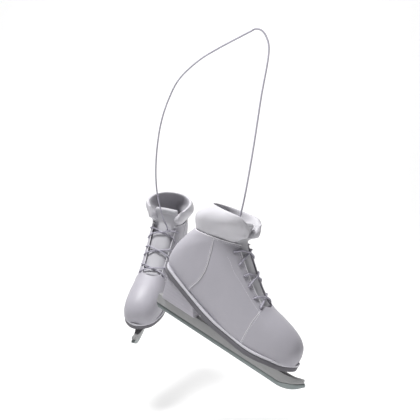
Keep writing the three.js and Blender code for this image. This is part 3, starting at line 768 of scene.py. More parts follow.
# The lining is pale partly in its own colour and partly as painted light that lifts the shade
# inside the boot.
lining_knit_with_painted_light = weave_finish("lining_knit_with_painted_light", (0.78, 0.77, 0.79), (0.66, 0.65, 0.67), 420, 0.0004)
footbed_felt = weave_finish("footbed_felt", (0.58, 0.57, 0.59), (0.46, 0.45, 0.47), 520, 0.0003)


def braid_finish(name, light, shade, pitch):
    """Strands cross at a slant: two sets of diagonal waves in the lace's own u and v."""
    finish = Finish(name, Roughness=0.8, Specular_IOR_Level=0.25)
    u, v = finish.uv_parts()
    along, round_it = u * (1 / pitch), v * 4.0
    one = ((along + round_it) * (2 * math.pi)).math("SINE")
    two = ((along - round_it) * (2 * math.pi)).math("SINE")
    strand = one.math("MAXIMUM", two) * 0.5 + 0.5
    fuzz = finish.noise(2600, 3)
    return finish.set(
        # The colour follows the strands' height, so the grooves between strands are painted dark as
        # painted shade; the fuzz adds random tone.
        Base_Color=finish.blend(strand * 0.75 + fuzz * 0.25, shade, light),
        Normal=finish.bump(strand + fuzz * 0.3, 0.6, 0.00035),
    )


lace_braid = braid_finish("lace_braid", (0.50, 0.485, 0.55), (0.22, 0.21, 0.26), 0.0036)
thread_finish = Finish("waxed_thread", Roughness=0.5)
thread_wear = thread_finish.noise(300, 3)
thread = thread_finish.set(
    Base_Color=thread_finish.blend(thread_wear, (0.83, 0.82, 0.86), (0.68, 0.67, 0.72)),
    Normal=thread_finish.bump(thread_finish.noise(4000, 2), 0.3, 0.0001),
)

# %% [markdown]
# Under the boot are a pale welt, a dark grey sole edge of pressed layers, and a heel block stacked
# from thin lifts. The layers follow the sole, so they are drawn on the pieces' own UV map,
# where u runs along the boot and v up it, both in metres.

# %% sole and heel finishes
def layered_finish(name, light, dark, layer, contrast, rough):
    finish = Finish(name, Specular_IOR_Level=0.35)
    _, rise = finish.uv_parts()
    wobble = finish.noise(60, 3) * 0.0004
    bands = ((rise + wobble) * (2 * math.pi / layer)).math("SINE") * 0.5 + 0.5
    lines = finish.ramp(bands, (0.0, (0, 0, 0)), (0.24, (1, 1, 1)))
    grime = finish.noise(48, 5, rough=0.65)
    speck = finish.noise(1500, 2)
    scuff = finish.ramp(finish.noise(85, 6, rough=0.75), (0.58, (0, 0, 0)), (0.72, (1, 1, 1)))
    tone = finish.blend(grime * 0.8 + speck * 0.2, dark, light)
    drawn = finish.blend(lines * contrast + (1 - contrast), dark, tone)
    return finish.set(
        Base_Color=finish.blend(scuff * 0.2, drawn, tuple(min(1.0, c * 1.5) for c in light)),
        Roughness=rough + grime * 0.15,
        Normal=finish.bump(lines * 0.7 + speck * 0.25, 0.3, 0.0003),
    )


layered = {  # light and dark, height of a layer in metres, contrast, roughness
    "sole_edge": ((0.175, 0.17, 0.185), (0.105, 0.10, 0.115), 0.0043, 0.35, 0.5),
    "stacked_heel": ((0.50, 0.485, 0.53), (0.38, 0.365, 0.41), 0.0058, 0.5, 0.42),
    "welt_edge": ((0.62, 0.61, 0.65), (0.5, 0.49, 0.53), 0.0024, 0.2, 0.4),
}
sole_edge, heel_stack, welt_finish = (
    layered_finish(name, *look) for name, look in layered.items()
)

# %% [markdown]
# The blade is one piece of metal in two finishes. The chassis is satin, and its brushing runs from
# heel to nose. The runner is ground hollow along its length, so it is darker, cooler and mirrors
# more, with fine scratches along it. Both finishes carry a few stains in patches.

# %% metals
def brushed_finish(name, light, dark, rough, metal, scratch):
    finish = Finish(name, Specular_IOR_Level=0.5)
    lengthways = finish.stretched(22, 2600, 1)
    brushing = finish.noise(1.0, 4, at=lengthways, rough=0.6)
    fine = finish.noise(1.0, 2, at=finish.stretched(90, 9000, 1))
    stain = finish.ramp(finish.noise(34, 5, rough=0.7), (0.45, (0, 0, 0)), (0.75, (1, 1, 1)))
    tone = finish.blend(brushing, dark, light)
    return finish.set(
        Base_Color=finish.blend(stain * 0.25, tone, dark),
        Metallic=metal,
        Roughness=rough + brushing * 0.16 + stain * 0.12,
        Normal=finish.bump(brushing * 0.5 + fine * 0.5, scratch, 0.00008),
    )


metals = {  # light and dark, roughness, how metallic, depth of the scratches
    "chassis_satin": ((0.36, 0.36, 0.36), (0.29, 0.29, 0.295), 0.42, 0.35, 0.3),
    "runner_ground": ((0.27, 0.30, 0.30), (0.19, 0.215, 0.215), 0.26, 0.8, 0.35),
}
chassis_metal, runner_steel = (brushed_finish(name, *look) for name, look in metals.items())
print("finishes", len([m for m in bpy.data.materials if m.use_nodes]))

# %% [markdown]
# Every finished piece gets its finish, hides the solid it stands for and, when a body is given,
# rides with that body. A panel's cut edges stay sharp while its face stays smooth, which a limit on
# the angle gives.


def finish_piece(piece, material, body, *nodes, angle=38):
    piece.data.materials.clear()
    for one in material if isinstance(material, (list, tuple)) else [material]:
        piece.data.materials.append(one)
    piece.data.shade_smooth()
    piece.data.set_sharp_from_angle(angle=math.radians(angle))
    if body:
        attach(piece, body)
    if nodes:
        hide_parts(*nodes)
    return piece


knot_radius, knot_size = 0.00145, 0.0027


def knot_ball(name, centre, size):
    """An overhand knot pulled tight: the trefoil line as a short thick tube."""
    a = np.linspace(0, 2 * math.pi, 72, endpoint=False)
    x, y = np.sin(a) + 2 * np.sin(2 * a), np.cos(a) - 2 * np.cos(2 * a)
    line = np.stack([x, y, -np.sin(3 * a) * 1.3], 1)
    return tube(name, np.array(centre) + line * size / 3, knot_radius, 10, closed=True)


finish_piece(free_lace, lace_braid, "lace", "free_lace", angle=180)
for side, centre in (("right", right_knot), ("left", left_knot)):
    knot = knot_ball(f"{side}_knot_tied", centre, knot_size)
    finish_piece(knot, lace_braid, f"{side}_knot", f"{side}_lace_knot", angle=180)
    finish_piece(lacing[side], lace_braid, f"{side}_skate", f"{side}_lacing", angle=180)

# %% [markdown]
# The leather panels of one boot. Vamp, quarters and heel counter are cut from one shell, and the
# lining side of the shell keeps its own finish. The vamp and the counter lie over the quarters,
# so their faces are lifted by most of a millimetre, and the lap shows as a thin step.

# %% leather panels
def box_prism(name, x0, x1, y0, y1, z0, z1):
    return prism(name, [(x0, z0), (x1, z0), (x1, z1), (x0, z1)], lambda x, z, w: (x, w, z), y0, y1)


def cut_panels():
    for name in ("leather_side", "lining_side"):
        bpy.data.materials.new(name)
    outer = skin_solid("shell", 0.0, 0.0, 0)
    outer.data.materials.append(bpy.data.materials["leather_side"])
    inner = skin_solid("hollow", leather, 0.05, 14)
    inner.data.materials.append(bpy.data.materials["lining_side"])
    under = [(x, float(sole_top(x)) + 0.05) for x in np.linspace(-25, sole_length + 20, 60)]
    floor = side_prism("floor", [*under, (sole_length + 20, -5), (-25, -5)])
    gap_tool = prism("gap", throat_outline(0.0), throat_point, -34, 40)
    ring = [(math.cos(a) * eyelet_radius, math.sin(a) * eyelet_radius)
            for a in np.linspace(0, 2 * math.pi, 15)[:-1]]
    holes = []
    for side in (1, -1):
        for row in range(eyelet_rows):
            spot = eyelet(row, side)
            turned = Vector((0, 0, 1)).rotation_difference(Vector(spot["way"]))
            face = Vector(spot["face"])
            place = lambda u, v, w, c=face, q=turned: tuple(c + q @ Vector((u, v, w)))
            holes.append(prism(f"hole_{side}_{row}", ring, place, -9, 9))
    above_seam = [*((x, z - 0.3) for x, z in cuff_seam), (181, 290), (-41, 290)]
    cuff_tool = side_prism("cuff_cut", above_seam)
    vamp_tool = side_prism("vamp_cut", [*vamp_seam, (340, ball_rise + 103), (340, 0)])
    counter_tool = side_prism("counter_cut", [(-40, 0), *counter_seam, (-40, heel_rise + 106)])
    for tool in (inner, floor, gap_tool, cuff_tool):
        cut(outer, tool)
    vamp = cut(copy_of(outer, "vamp"), vamp_tool, "INTERSECT")
    rest = cut(outer, vamp_tool)
    counter = cut(copy_of(rest, "counter"), counter_tool, "INTERSECT")
    quarters = cut(rest, counter_tool)
    for hole in holes:
        cut(quarters, hole)
    half = box_prism("half", -100, 400, 0, 120, -20, 300)
    inner_quarter = cut(copy_of(quarters, "inner"), half, "INTERSECT")
    outer_quarter = cut(quarters, half)
    drop(inner, floor, gap_tool, cuff_tool, vamp_tool, counter_tool, half, *holes)
    return {
        "vamp": vamp, "heel_counter": counter,
        "quarter_inner": inner_quarter, "quarter_outer": outer_quarter,
    }


def largest_part(piece):
    work = bmesh.new()
    work.from_mesh(piece.data)
    bmesh.ops.remove_doubles(work, verts=work.verts, dist=1e-3)
    left, groups = set(work.verts), []
    while left:
        stack, group = [left.pop()], []
        while stack:
            vert = stack.pop()
            group.append(vert)
            for edge in vert.link_edges:
                other = edge.other_vert(vert)
                if other in left:
                    left.remove(other)
                    stack.append(other)
        groups.append(group)
    groups.sort(key=len)
    bmesh.ops.delete(work, geom=[v for g in groups[:-1] for v in g], context="VERTS")
    work.to_mesh(piece.data)
    work.free()
    return piece


panels = {name: largest_part(piece) for name, piece in cut_panels().items()}
for name, piece in panels.items():
    print(name, len(piece.data.polygons), "faces", [m.name for m in piece.data.materials if m])

# %% [markdown]
# A lapped panel is moved outwards on its leather side only, so its lining stays where it is. Each
# panel is then set in both boots, and each face keeps the side that it was cut from.

# %% lift the lapped panels and set them in both boots
lap = 0.7


def lifted(piece, lift):
    """Moves the leather side of a panel outwards, and tells which faces are lining."""
    mesh = piece.data
    points = np.array([v.co for v in mesh.vertices])
    names = [m.name if m else "" for m in mesh.materials]
    lining = np.array([names[p.material_index] == "lining_side" for p in mesh.polygons])
    normals = np.zeros_like(points)
    skin = np.zeros(len(points), bool)
    for polygon, inside in zip(mesh.polygons, lining):
        if inside:
            continue
        for index in polygon.vertices:
            normals[index] += np.array(polygon.normal) * polygon.area
            skin[index] = True
    touching = np.zeros(len(points), bool)
    for polygon, inside in zip(mesh.polygons, lining):
        if inside:
            touching[list(polygon.vertices)] = True
    long = np.linalg.norm(normals, axis=1)
    skin &= (long > 1e-9) & ~touching
    points[skin] += normals[skin] / long[skin][:, None] * lift
    return points, [tuple(p.vertices) for p in mesh.polygons], lining


for name, piece in panels.items():
    points, faces, lining = lifted(piece, lap if name in ("vamp", "heel_counter") else 0.0)
    for side in directions:
        panel = place_piece(side, name + "_leather", points, faces)
        finish_piece(panel, [white_leather, lining_knit_with_painted_light], f"{side}_skate", f"{side}_{name}",
                     angle=32)
        panel.data.polygons.foreach_set("material_index", lining.astype(np.int32))
    drop(piece)

# %% [markdown]
# The padded cuff is foam inside soft leather, sewn to the boot along its lower edge. It is crowned
# between its edges and its rim is round, so it is not cut from the shell: two sheets follow the
# skin, stand apart by the padding's thickness, and meet in a rounded edge all the way round. Small
# puckers run up from the seam, where the needle pulls the padding in.

# %% padded cuff
def wing_gap(z):
    """Half the opening between the cuff's two front edges, which stay close and then flare."""
    rise = max((z - throat_top[2]) / (collar_front[1] - throat_top[2]), 0)
    return throat_half_top - 1 + (cuff_gap_half - throat_half_top - 1) * min(rise, 1) ** 2.4


def cuff_grid(columns=132, rows=30):
    turns = np.linspace(0.02, math.pi, 90)
    bottoms = []
    for turn in turns:
        low, high = 0.70, 0.99
        for _ in range(26):
            middle = (low + high) / 2
            point = upper_points(middle, turn)
            low, high = (middle, high) if point[2] < seam_height(point[0]) + 0.6 else (low, middle)
        bottoms.append(high)
    bottom_of = lambda turn: np.interp(np.minimum(turn, 2 * math.pi - turn), turns, bottoms)
    b = 0.5 - 0.5 * np.cos(np.linspace(0, math.pi, rows + 1))
    fronts = []
    for share in b:
        low, high = 0.02, 1.6
        for _ in range(26):
            middle = (low + high) / 2
            t = bottom_of(middle) + share * (1 - bottom_of(middle))
            point = upper_points(t, middle)
            wide = abs(point[1] - inward(point[0])) > wing_gap(point[2])
            low, high = (low, middle) if wide else (middle, high)
        fronts.append(high)
    a = 0.5 - 0.5 * np.cos(np.linspace(0, math.pi, columns + 1))
    a = 0.75 * np.linspace(0, 1, columns + 1) + 0.25 * a
    fronts = np.array(fronts)[:, None]
    turn = fronts + a[None, :] * (2 * math.pi - 2 * fronts)
    corner = np.exp(-((a / 0.075) ** 2)) + np.exp(-(((1 - a) / 0.075) ** 2))
    t = bottom_of(turn) + b[:, None] * (1 - 0.03 * corner[None, :] - bottom_of(turn))
    return a, b, t, turn


def closed_pad(first, second):
    """Two grids of points, joined all round their edge into one closed skin."""
    rows, columns = first.shape[:2]
    points = list(first.reshape(-1, 3)) + list(second.reshape(-1, 3))
    shift, faces = rows * columns, []
    for i in range(rows - 1):
        for k in range(columns - 1):
            p = i * columns + k
            q = (p, p + 1, p + columns + 1, p + columns)
            faces += [q, tuple(shift + v for v in reversed(q))]
    rim = [(0, k) for k in range(columns)] + [(i, columns - 1) for i in range(1, rows)]
    rim += [(rows - 1, k) for k in range(columns - 2, -1, -1)]
    rim += [(i, 0) for i in range(rows - 2, 0, -1)]
    for (i, k), (m, n) in zip(rim, rim[1:] + rim[:1]):
        p, q = i * columns + k, m * columns + n
        faces.append((q, p, p + shift, q + shift))
    return points, faces


def tidy_normals(piece):
    work = bmesh.new()
    work.from_mesh(piece.data)
    bmesh.ops.remove_doubles(work, verts=work.verts, dist=1e-6)
    bmesh.ops.recalc_face_normals(work, faces=work.faces)
    work.to_mesh(piece.data)
    work.free()
    piece.data.update()
    return piece


cuff_wall = 10.0
a, b, t, turn = cuff_grid()
crown = (1 - np.abs(2 * b - 1) ** 3.2)[:, None] * (1 - np.abs(2 * a - 1) ** 22)[None, :]
crown = np.clip(crown, 0, 1) ** 0.4
pucker_rows = np.exp(-b / 0.16)[:, None]
pucker = 0.9 * pucker_rows * np.sin(a * 2 * math.pi * 19 + 0.8 * np.sin(a * 23))[None, :]
roll_rows = np.exp(-((b - 0.6) / 0.3) ** 2)[:, None]
roll = 0.8 * np.sin(a * 31 + 2 * np.sin(a * 9))[None, :] * roll_rows
swell = 3.6 * np.sin(math.pi * np.clip(b * 1.06, 0, 1))[:, None]
wings = np.exp(-((a / 0.07) ** 2)) + np.exp(-(((1 - a) / 0.07) ** 2))
swell = swell * (1 + 1.3 * wings[None, :] * np.exp(-(((b - 0.5) / 0.3) ** 2))[:, None])
half_wall = 1.1 * cuff_wall / 2 * crown
fullness = (swell + (pucker + roll) * 0.6) * crown
cuff_outer = upper_points(t, turn, cuff_wall / 2 - half_wall - fullness)
cuff_inner = upper_points(t, turn, cuff_wall / 2 + half_wall + 0.6 * swell * crown)
front_share = np.exp(-((a / 0.10) ** 2)) + np.exp(-(((1 - a) / 0.10) ** 2))
reach = 10 * front_share[None, :] * np.exp(-(((b - 0.58) / 0.36) ** 2))[:, None]
for sheet in (cuff_outer, cuff_inner):
    sheet[..., 0] += reach
    sheet[..., 2] -= 0.3 * reach
points, faces = closed_pad(cuff_outer, cuff_inner)
for side in directions:
    cuff = tidy_normals(place_piece(side, "cuff_padded", points, faces))
    finish_piece(cuff, cuff_leather_with_painted_light, f"{side}_skate", f"{side}_cuff", angle=80)
print("cuff", len(points), "points")

# %% [markdown]
# The tongue is one padded strip that lies under the lacing and stands up free above it, with a
# rolled edge at its top. It bends where the lacing ends. In the model that bend is a joint; here
# the strip is one fixed piece, baked in place and carried by no body.

# %% tongue
hinge_x, hinge_z = 0.412 * sole_length - 7.9, heel_rise + 90.4
tongue_top_z = collar_front[1] - 11
tongue_wall, tongue_half, tongue_tip_half = 6.8, 30.0, 24.2


def tongue_centre(columns=34, rows=72):
    across = np.sin(np.linspace(-math.pi / 2, math.pi / 2, columns + 1))
    across = 0.5 * across + 0.5 * np.linspace(-1, 1, columns + 1)
    lower_s = np.linspace(4, throat_length - 4, 40)
    lower = []
    for s in lower_s:
        row_t = front_t(s)
        row = slice_at(row_t)
        half = min(tongue_half, 0.985 * (row[4] - tongue_wall))
        sideways = np.minimum(np.abs(across) * half / (row[4] - tongue_wall), 0.985)
        turns = np.arcsin(sideways ** (row[6] / 2))
        turns = np.where(across < 0, 2 * math.pi - turns, turns)
        lower.append(upper_points(row_t, turns, tongue_wall))
    lower = np.array(lower)
    upper_z = np.linspace(hinge_z + 6, tongue_top_z - 2.5, 26)
    upper = []
    for z in upper_z:
        lean = (z - hinge_z) / (tongue_top_z - hinge_z)
        half = tongue_tip_half
        if lean > 0.8:
            half *= math.sqrt(max(1 - ((lean - 0.8) / 0.24) ** 2, 0.1)) ** 0.5
        x = hinge_x - 8 * lean + 1.6 * across**2 * (1 - lean) * -2 + 1.5 * across**2 * lean
        upper.append(np.stack([x, across * half + inward(hinge_x), np.full_like(across, z)], 1))
    whole = np.concatenate([lower, np.array(upper)])
    flat = whole.reshape(len(whole), -1)
    middle_steps = np.linalg.norm(np.diff(whole[:, columns // 2], axis=0), axis=1)
    away = np.concatenate([[0], np.cumsum(middle_steps)])
    at = np.linspace(0, away[-1], rows + 1)
    even = np.stack([np.interp(at, away, flat[:, k]) for k in range(flat.shape[1])], 1)
    for _ in range(3):
        even[1:-1] = 0.25 * even[:-2] + 0.5 * even[1:-1] + 0.25 * even[2:]
    return across, even.reshape(rows + 1, columns + 1, 3)


def grid_normals(grid):
    a, b = np.gradient(grid, axis=0), np.gradient(grid, axis=1)
    n = np.cross(a, b)
    return n / np.maximum(np.linalg.norm(n, axis=2), 1e-9)[..., None]


across, centre = tongue_centre()
up_share = np.linspace(0, 1, len(centre))
tongue_out = grid_normals(centre)
tongue_out *= np.sign(tongue_out[len(centre) // 2, len(across) // 2, 0])
thick = 2.4 * (1 - np.abs(across) ** 7)[None, :] ** 0.4
thick = thick * (1 - np.abs(2 * up_share - 1) ** 26)[:, None] ** 0.4
lip = 2.8 * np.exp(-((up_share - 0.965) / 0.026) ** 2)[:, None] * (1 - np.abs(across) ** 6)[None, :]
edge_roll = 0.7 * np.exp(-((np.abs(across) - 0.86) / 0.07) ** 2)[None, :]
hollow = (1.2 - 2.2 * up_share)[:, None] * (1 - across**2)[None, :]
front_face = centre + tongue_out * (thick + lip + edge_roll + hollow)[..., None]
back_face = centre - tongue_out * (thick + lip * 0.4)[..., None]
points, faces = closed_pad(front_face, back_face)
for side in directions:
    tongue = tidy_normals(place_piece(side, "tongue_padded", points, faces))
    finish_piece(tongue, tongue_leather, None, f"{side}_tongue", f"{side}_tongue_tip", angle=80)
    start, end = to_world(side, [(hinge_x, 0, hinge_z - 7), (hinge_x, 0, hinge_z + 9)])
    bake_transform(tongue)
print("tongue", len(points), "points")

# %% [markdown]
# Welt, outsole, heel lift and footbed are boards that follow the sole. Each is a run of cross
# sections from heel to toe, and a section is a rectangle with rounded corners, so that the edge
# catches the light as a trimmed and waxed edge does.

# %% boards of the sole
def half_width(x, grow):
    """Half the sole's width at x, with the plan grown by a margin that fades at both ends."""
    middle = sole_length / 2
    scaled = middle + (np.asarray(x) - middle) * middle / (middle + grow)
    fade = np.sqrt(np.maximum(1 - (np.abs(scaled - middle) / (middle + 0.7)) ** 10, 0))
    return np.interp(scaled, plan_fine[:, 0], plan_fine[:, 1]) + grow * np.clip(fade, 0, 1)


def board(side, name, grow, rise, thickness, corner, x0=None, x1=None, material=None, node=None):
    low = -1.2 - grow if x0 is None else x0
    high = sole_length - 0.2 + grow if x1 is None else x1
    share = 0.5 - 0.5 * np.cos(np.linspace(0, math.pi, 97))
    xs = low + (high - low) * (0.6 * share + 0.4 * np.linspace(0, 1, 97))
    corners = []
    for cy, cz, start in ((1, -1, -90), (1, 1, 0), (-1, 1, 90), (-1, -1, 180)):
        for step in range(4):
            angle = math.radians(start + step * 30)
            corners.append((cy, cz, math.cos(angle), math.sin(angle)))
    rings, uvs_of = [], []
    for x in xs:
        half = max(float(half_width(x, grow)), 0.4)
        r = min(corner, half * 0.9)
        mid = float(sole_top(x)) + rise - thickness / 2
        ring = []
        for cy, cz, ca, sa in corners:
            y = cy * (half - r) + r * ca + float(inward(x))
            z = mid + cz * (thickness / 2 - r) + r * sa
            ring.append((x, y, z))
        rings.append(ring)
        uvs_of.append([(x / 1000, (p[2] - mid + thickness / 2) / 1000) for p in ring])
    n, points = len(corners), [p for ring in rings for p in ring]
    faces, uvs = [], []
    for i in range(len(xs) - 1):
        for k in range(n):
            m = (k + 1) % n
            faces.append((i * n + k, (i + 1) * n + k, (i + 1) * n + m, i * n + m))
            uvs.append((uvs_of[i][k], uvs_of[i + 1][k], uvs_of[i + 1][m], uvs_of[i][m]))
    last = (len(xs) - 1) * n
    faces += [tuple(range(n)), tuple(range(last + n - 1, last - 1, -1))]
    uvs += [tuple(uvs_of[0]), tuple(reversed(uvs_of[-1]))]
    piece = place_piece(side, name, points, faces, uvs)
    tidy_normals(piece)
    return finish_piece(piece, material, f"{side}_skate", f"{side}_{node}", angle=50)


heel_front = 0.292 * sole_length
welt_height, outsole_thickness, lift_thickness = 2.4, 11.0, 2.4
for side in directions:
    board(side, "welt_strip", 2.8, 1.5, welt_height + 1.5, 1.2, material=welt_finish, node="welt")
    board(side, "outsole_board", 2.0, -welt_height - 0.2,
          outsole_thickness - welt_height - 0.2, 1.3, material=sole_edge, node="outsole")
    board(side, "heel_lift_strip", -3.0, -outsole_thickness - 0.2, lift_thickness - 0.2, 0.7,
          x0=1.8, x1=heel_front + 4, material=welt_finish, node="heel_lift")
    board(side, "footbed", -7.0, 5.0, 4.6, 1.2, material=footbed_felt, node="insole")

# %% [markdown]
# The heel block is wide where it meets the sole and narrow where it stands on the blade. The block
# under the ball is a short dark stub. Both are tapered prisms with softened edges, and their
# layers follow the sole above them.

# %% heel and ball blocks
blade_height = 24.0
ball_back = 0.759 * sole_length


def soften(piece, width, angle=28):
    work = bmesh.new()
    work.from_mesh(piece.data)
    bmesh.ops.remove_doubles(work, verts=work.verts, dist=1e-7)
    sharp = [e for e in work.edges if e.is_manifold and e.calc_face_angle(0) > math.radians(angle)]
    bmesh.ops.bevel(work, geom=sharp, offset=width, segments=2, profile=0.6,
                    affect="EDGES", clamp_overlap=True)
    bmesh.ops.recalc_face_normals(work, faces=work.faces)
    work.to_mesh(piece.data)
    work.free()
    return piece


def side_uvs(side, piece):
    """A UV map in metres: u forward along the boot and v up it."""
    origin, forward, left, up = directions[side]
    mesh = piece.data
    layer = mesh.uv_layers.get("UVMap") or mesh.uv_layers.new(name="UVMap")
    points = np.array([v.co for v in mesh.vertices]) - origin
    flat = np.stack([points @ forward, points @ up], 1)
    loops = np.array([loop.vertex_index for loop in mesh.loops])
    layer.data.foreach_set("uv", flat[loops].astype(np.float32).ravel())
    return piece


def block(side, name, back, front, lean_back, lean_front, half_top, half_bottom, cover,
          material, node):
    """A tapered prism between the sole and the blade, from back to front at its foot."""
    columns, rows = 14, 6
    foot = blade_height + 0.3
    grid = []
    for i in range(columns + 1):
        share = i / columns
        column = []
        for j in range(rows + 1):
            rise = j / rows
            x_low = back + (front - back) * share
            x_high = back - lean_back + (front + lean_front - back + lean_back) * share
            top = float(sole_top(x_high)) - cover
            x = x_low + (x_high - x_low) * rise
            z = foot + (top - blade_height - 0.3) * rise
            column.append((x, half_bottom + (half_top - half_bottom) * rise, z))
        grid.append(column)
    points, index = [], {}
    for sign in (1, -1):
        for i in range(columns + 1):
            for j in range(rows + 1):
                x, y, z = grid[i][j]
                index[sign, i, j] = len(points)
                points.append((x, sign * y, z))
    faces = []
    for i in range(columns):
        for j in range(rows):
            faces.append(
                (index[1, i, j], index[1, i, j + 1], index[1, i + 1, j + 1], index[1, i + 1, j])
            )
            faces.append(
                (index[-1, i, j], index[-1, i + 1, j], index[-1, i + 1, j + 1], index[-1, i, j + 1])
            )
    for i in range(columns):
        for j in (0, rows):
            faces.append((index[1, i, j], index[1, i + 1, j], index[-1, i + 1, j], index[-1, i, j]))
    for j in range(rows):
        for i in (0, columns):
            faces.append((index[1, i, j], index[-1, i, j], index[-1, i, j + 1], index[1, i, j + 1]))
    piece = tidy_normals(place_piece(side, name, points, faces))
    soften(piece, 0.0012)
    side_uvs(side, piece)
    return finish_piece(piece, material, f"{side}_skate", f"{side}_{node}", angle=40)


for side in directions:
    block(side, "heel_block_stack", 17, heel_front + 7, 4, -7, heel_half - 4, 17, 13.6,
          heel_stack, "heel_block")
    block(side, "ball_block_stub", ball_back, ball_back + 31, 0, 3, 17, 17, 11.3,
          sole_edge, "ball_block")

# %% [markdown]
# The blade: a chassis beam whose top is wider than its foot, and a runner that stands in its
# groove and curls up at the nose. The outlines are smooth side views swept across and softened.
# The runner's edge is left crisp, because it is the ground part.

# %% blade
blade_back, bend_x = 4.0, sole_length - 11
tip_x, tip_rise, runner_height = bend_x + 37, 22.0, 7.0


def swept_outline(side, name, outline, half_at, material, node, edge):
    n = len(outline)
    points = [(x, way * half_at(x, z), z) for way in (1, -1) for x, z in outline]
    faces = [tuple(range(n)), tuple(range(2 * n - 1, n - 1, -1))]
    faces += [(i, (i + 1) % n, (i + 1) % n + n, i + n) for i in range(n)]
    piece = tidy_normals(place_piece(side, name, points, faces))
    soften(piece, edge, 50)
    side_uvs(side, piece)
    return finish_piece(piece, material, f"{side}_skate", f"{side}_{node}", angle=30)


chassis_top = side_curve(
    [(bend_x - 30, blade_height), (bend_x + 2, blade_height + 0.4),
     (bend_x + 16, blade_height + 2.4), (tip_x - 6, tip_rise + 9)], 8
)
chassis_foot = side_curve(
    [(bend_x - 2, runner_height + 0.3), (bend_x + 19, tip_rise - 5.7),
     (tip_x - 4, tip_rise + 4.3)], 8
)
chassis_outline = [
    (blade_back, 11), (blade_back + 3, runner_height + 0.3), *chassis_foot, *reversed(chassis_top),
    (blade_back, blade_height),
]
runner_foot = side_curve(
    [(bend_x - 20, 0), (bend_x, 0.1), (bend_x + 14, 4), (bend_x + 25, 10.5), (tip_x, tip_rise)], 8
)
runner_back = side_curve(
    [(tip_x - 3, tip_rise + 4), (bend_x + 19, tip_rise - 6), (bend_x - 2, runner_height),
     (bend_x - 12, runner_height)], 8
)
runner_outline = [
    (blade_back + 7, 0), *runner_foot, *runner_back,
    (blade_back + 1, runner_height), (blade_back + 1, 6),
]
beam_top_half, beam_foot_half, beam_nose_half, runner_half = 8.0, 4.75, 4.1, 3.25


def beam_half(x, z):
    """Wide along its top, and narrowing to the nose."""
    wide = beam_top_half if z > blade_height - 2 else beam_foot_half
    share = min(max((x - bend_x + 6) / 22, 0), 1)
    return wide + (beam_nose_half - wide) * share


for side in directions:
    swept_outline(side, "chassis_beam", chassis_outline,
                  beam_half, chassis_metal, "blade_chassis", 0.0007)
    swept_outline(side, "runner_steel", runner_outline,
                  lambda x, z: runner_half, runner_steel, "blade_runner", 0.0003)

# %% [markdown]
# Stitches: hundreds of short bars along the seams. They repeat along a line, so Geometry Nodes
# place them: each point of a bare mesh carries the way along its seam and the way out of the
# leather, and the tree turns one low bar to both and makes them real.

# %% stitch tree
stitch_length, stitch_width, stitch_spacing = 0.0022, 0.0006, 3.1  # metres, metres, millimetres


def stitch_tree(material):
    tree = bpy.data.node_groups.new("stitches", "GeometryNodeTree")
    for name, kind, value in (
        ("Geometry", "NodeSocketGeometry", None), ("Length", "NodeSocketFloat", stitch_length),
        ("Width", "NodeSocketFloat", stitch_width), ("Seed", "NodeSocketInt", 3),
    ):
        socket = tree.interface.new_socket(name, in_out="INPUT", socket_type=kind)
        if value is not None:
            socket.default_value = value
    tree.interface.new_socket("Geometry", in_out="OUTPUT", socket_type="NodeSocketGeometry")

    def node(kind, settings=None, **inputs):
        made = tree.nodes.new(kind)
        for key, value in (settings or {}).items():
            setattr(made, key, value)
        for key, value in inputs.items():
            target = input_of(made, key)
            if isinstance(value, bpy.types.NodeSocket):
                tree.links.new(value, target)
            else:
                target.default_value = value
        return made

    start = node("NodeGroupInput").outputs
    kind, vector = "GeometryNodeInputNamedAttribute", {"data_type": "FLOAT_VECTOR"}
    named = {key: node(kind, vector, Name=key).outputs[0] for key in ("seam_way", "seam_out")}
    bar = node("GeometryNodeMeshUVSphere", Segments=8, Rings=6, Radius=0.5)
    size = node("ShaderNodeCombineXYZ", X=start["Length"], Y=start["Width"], Z=start["Width"])
    shaped = node("GeometryNodeTransform", Geometry=bar.outputs[0], Scale=size.outputs[0])
    turn = node("FunctionNodeAlignRotationToVector", {"axis": "X"}, Vector=named["seam_way"])
    face = node("FunctionNodeAlignRotationToVector", {"axis": "Z", "pivot_axis": "X"},
                Rotation=turn.outputs[0], Vector=named["seam_out"])
    vary = node("FunctionNodeRandomValue", {"data_type": "FLOAT"},
                n2=0.88, n3=1.1, Seed=start["Seed"])
    points = node("GeometryNodeMeshToPoints", Mesh=start["Geometry"])
    spread = node("GeometryNodeInstanceOnPoints", Points=points.outputs[0],
                  Instance=shaped.outputs[0], Rotation=face.outputs[0], Scale=vary.outputs[1])
    real = node("GeometryNodeRealizeInstances", Geometry=spread.outputs[0])
    smooth = node("GeometryNodeSetShadeSmooth", Geometry=real.outputs[0])
    painted = node("GeometryNodeSetMaterial", Geometry=smooth.outputs[0], Material=material)
    node("NodeGroupOutput", Geometry=painted.outputs[0])
    return tree


stitches_tree = stitch_tree(thread)


def stitched(name, spots, ways, outs, body):
    holder = add_mesh(name + "_points", spots, [])
    for key, values in (("seam_way", ways), ("seam_out", outs)):
        attribute = holder.data.attributes.new(key, "FLOAT_VECTOR", "POINT")
        attribute.data.foreach_set("vector", np.asarray(values, np.float32).ravel())
    step = holder.modifiers.new("stitches", "NODES")
    step.node_group = stitches_tree
    ids = {item.name: item.identifier
           for item in stitches_tree.interface.items_tree if item.in_out == "INPUT"}
    step[ids["Length"]], step[ids["Width"]] = stitch_length, stitch_width
    made = evaluated_mesh(holder)
    drop(holder)
    piece = bpy.data.objects.new(name, made)
    bpy.context.scene.collection.objects.link(piece)
    if not made.materials:
        made.materials.append(thread)
    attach(piece, body)
    return piece


# %% [markdown]
# A seam line is given from the side, so its points are found on the skin: for each height along
# the seam, the slice and angle where the skin has that side position. A coarse table of the skin
# is enough to look them up.

# %% seam lines on the skin
table_t = np.linspace(0.005, 0.995, 420)
table_turn = np.linspace(0.02, math.pi - 0.02, 300)
table_points = upper_points(table_t[:, None], table_turn[None, :])


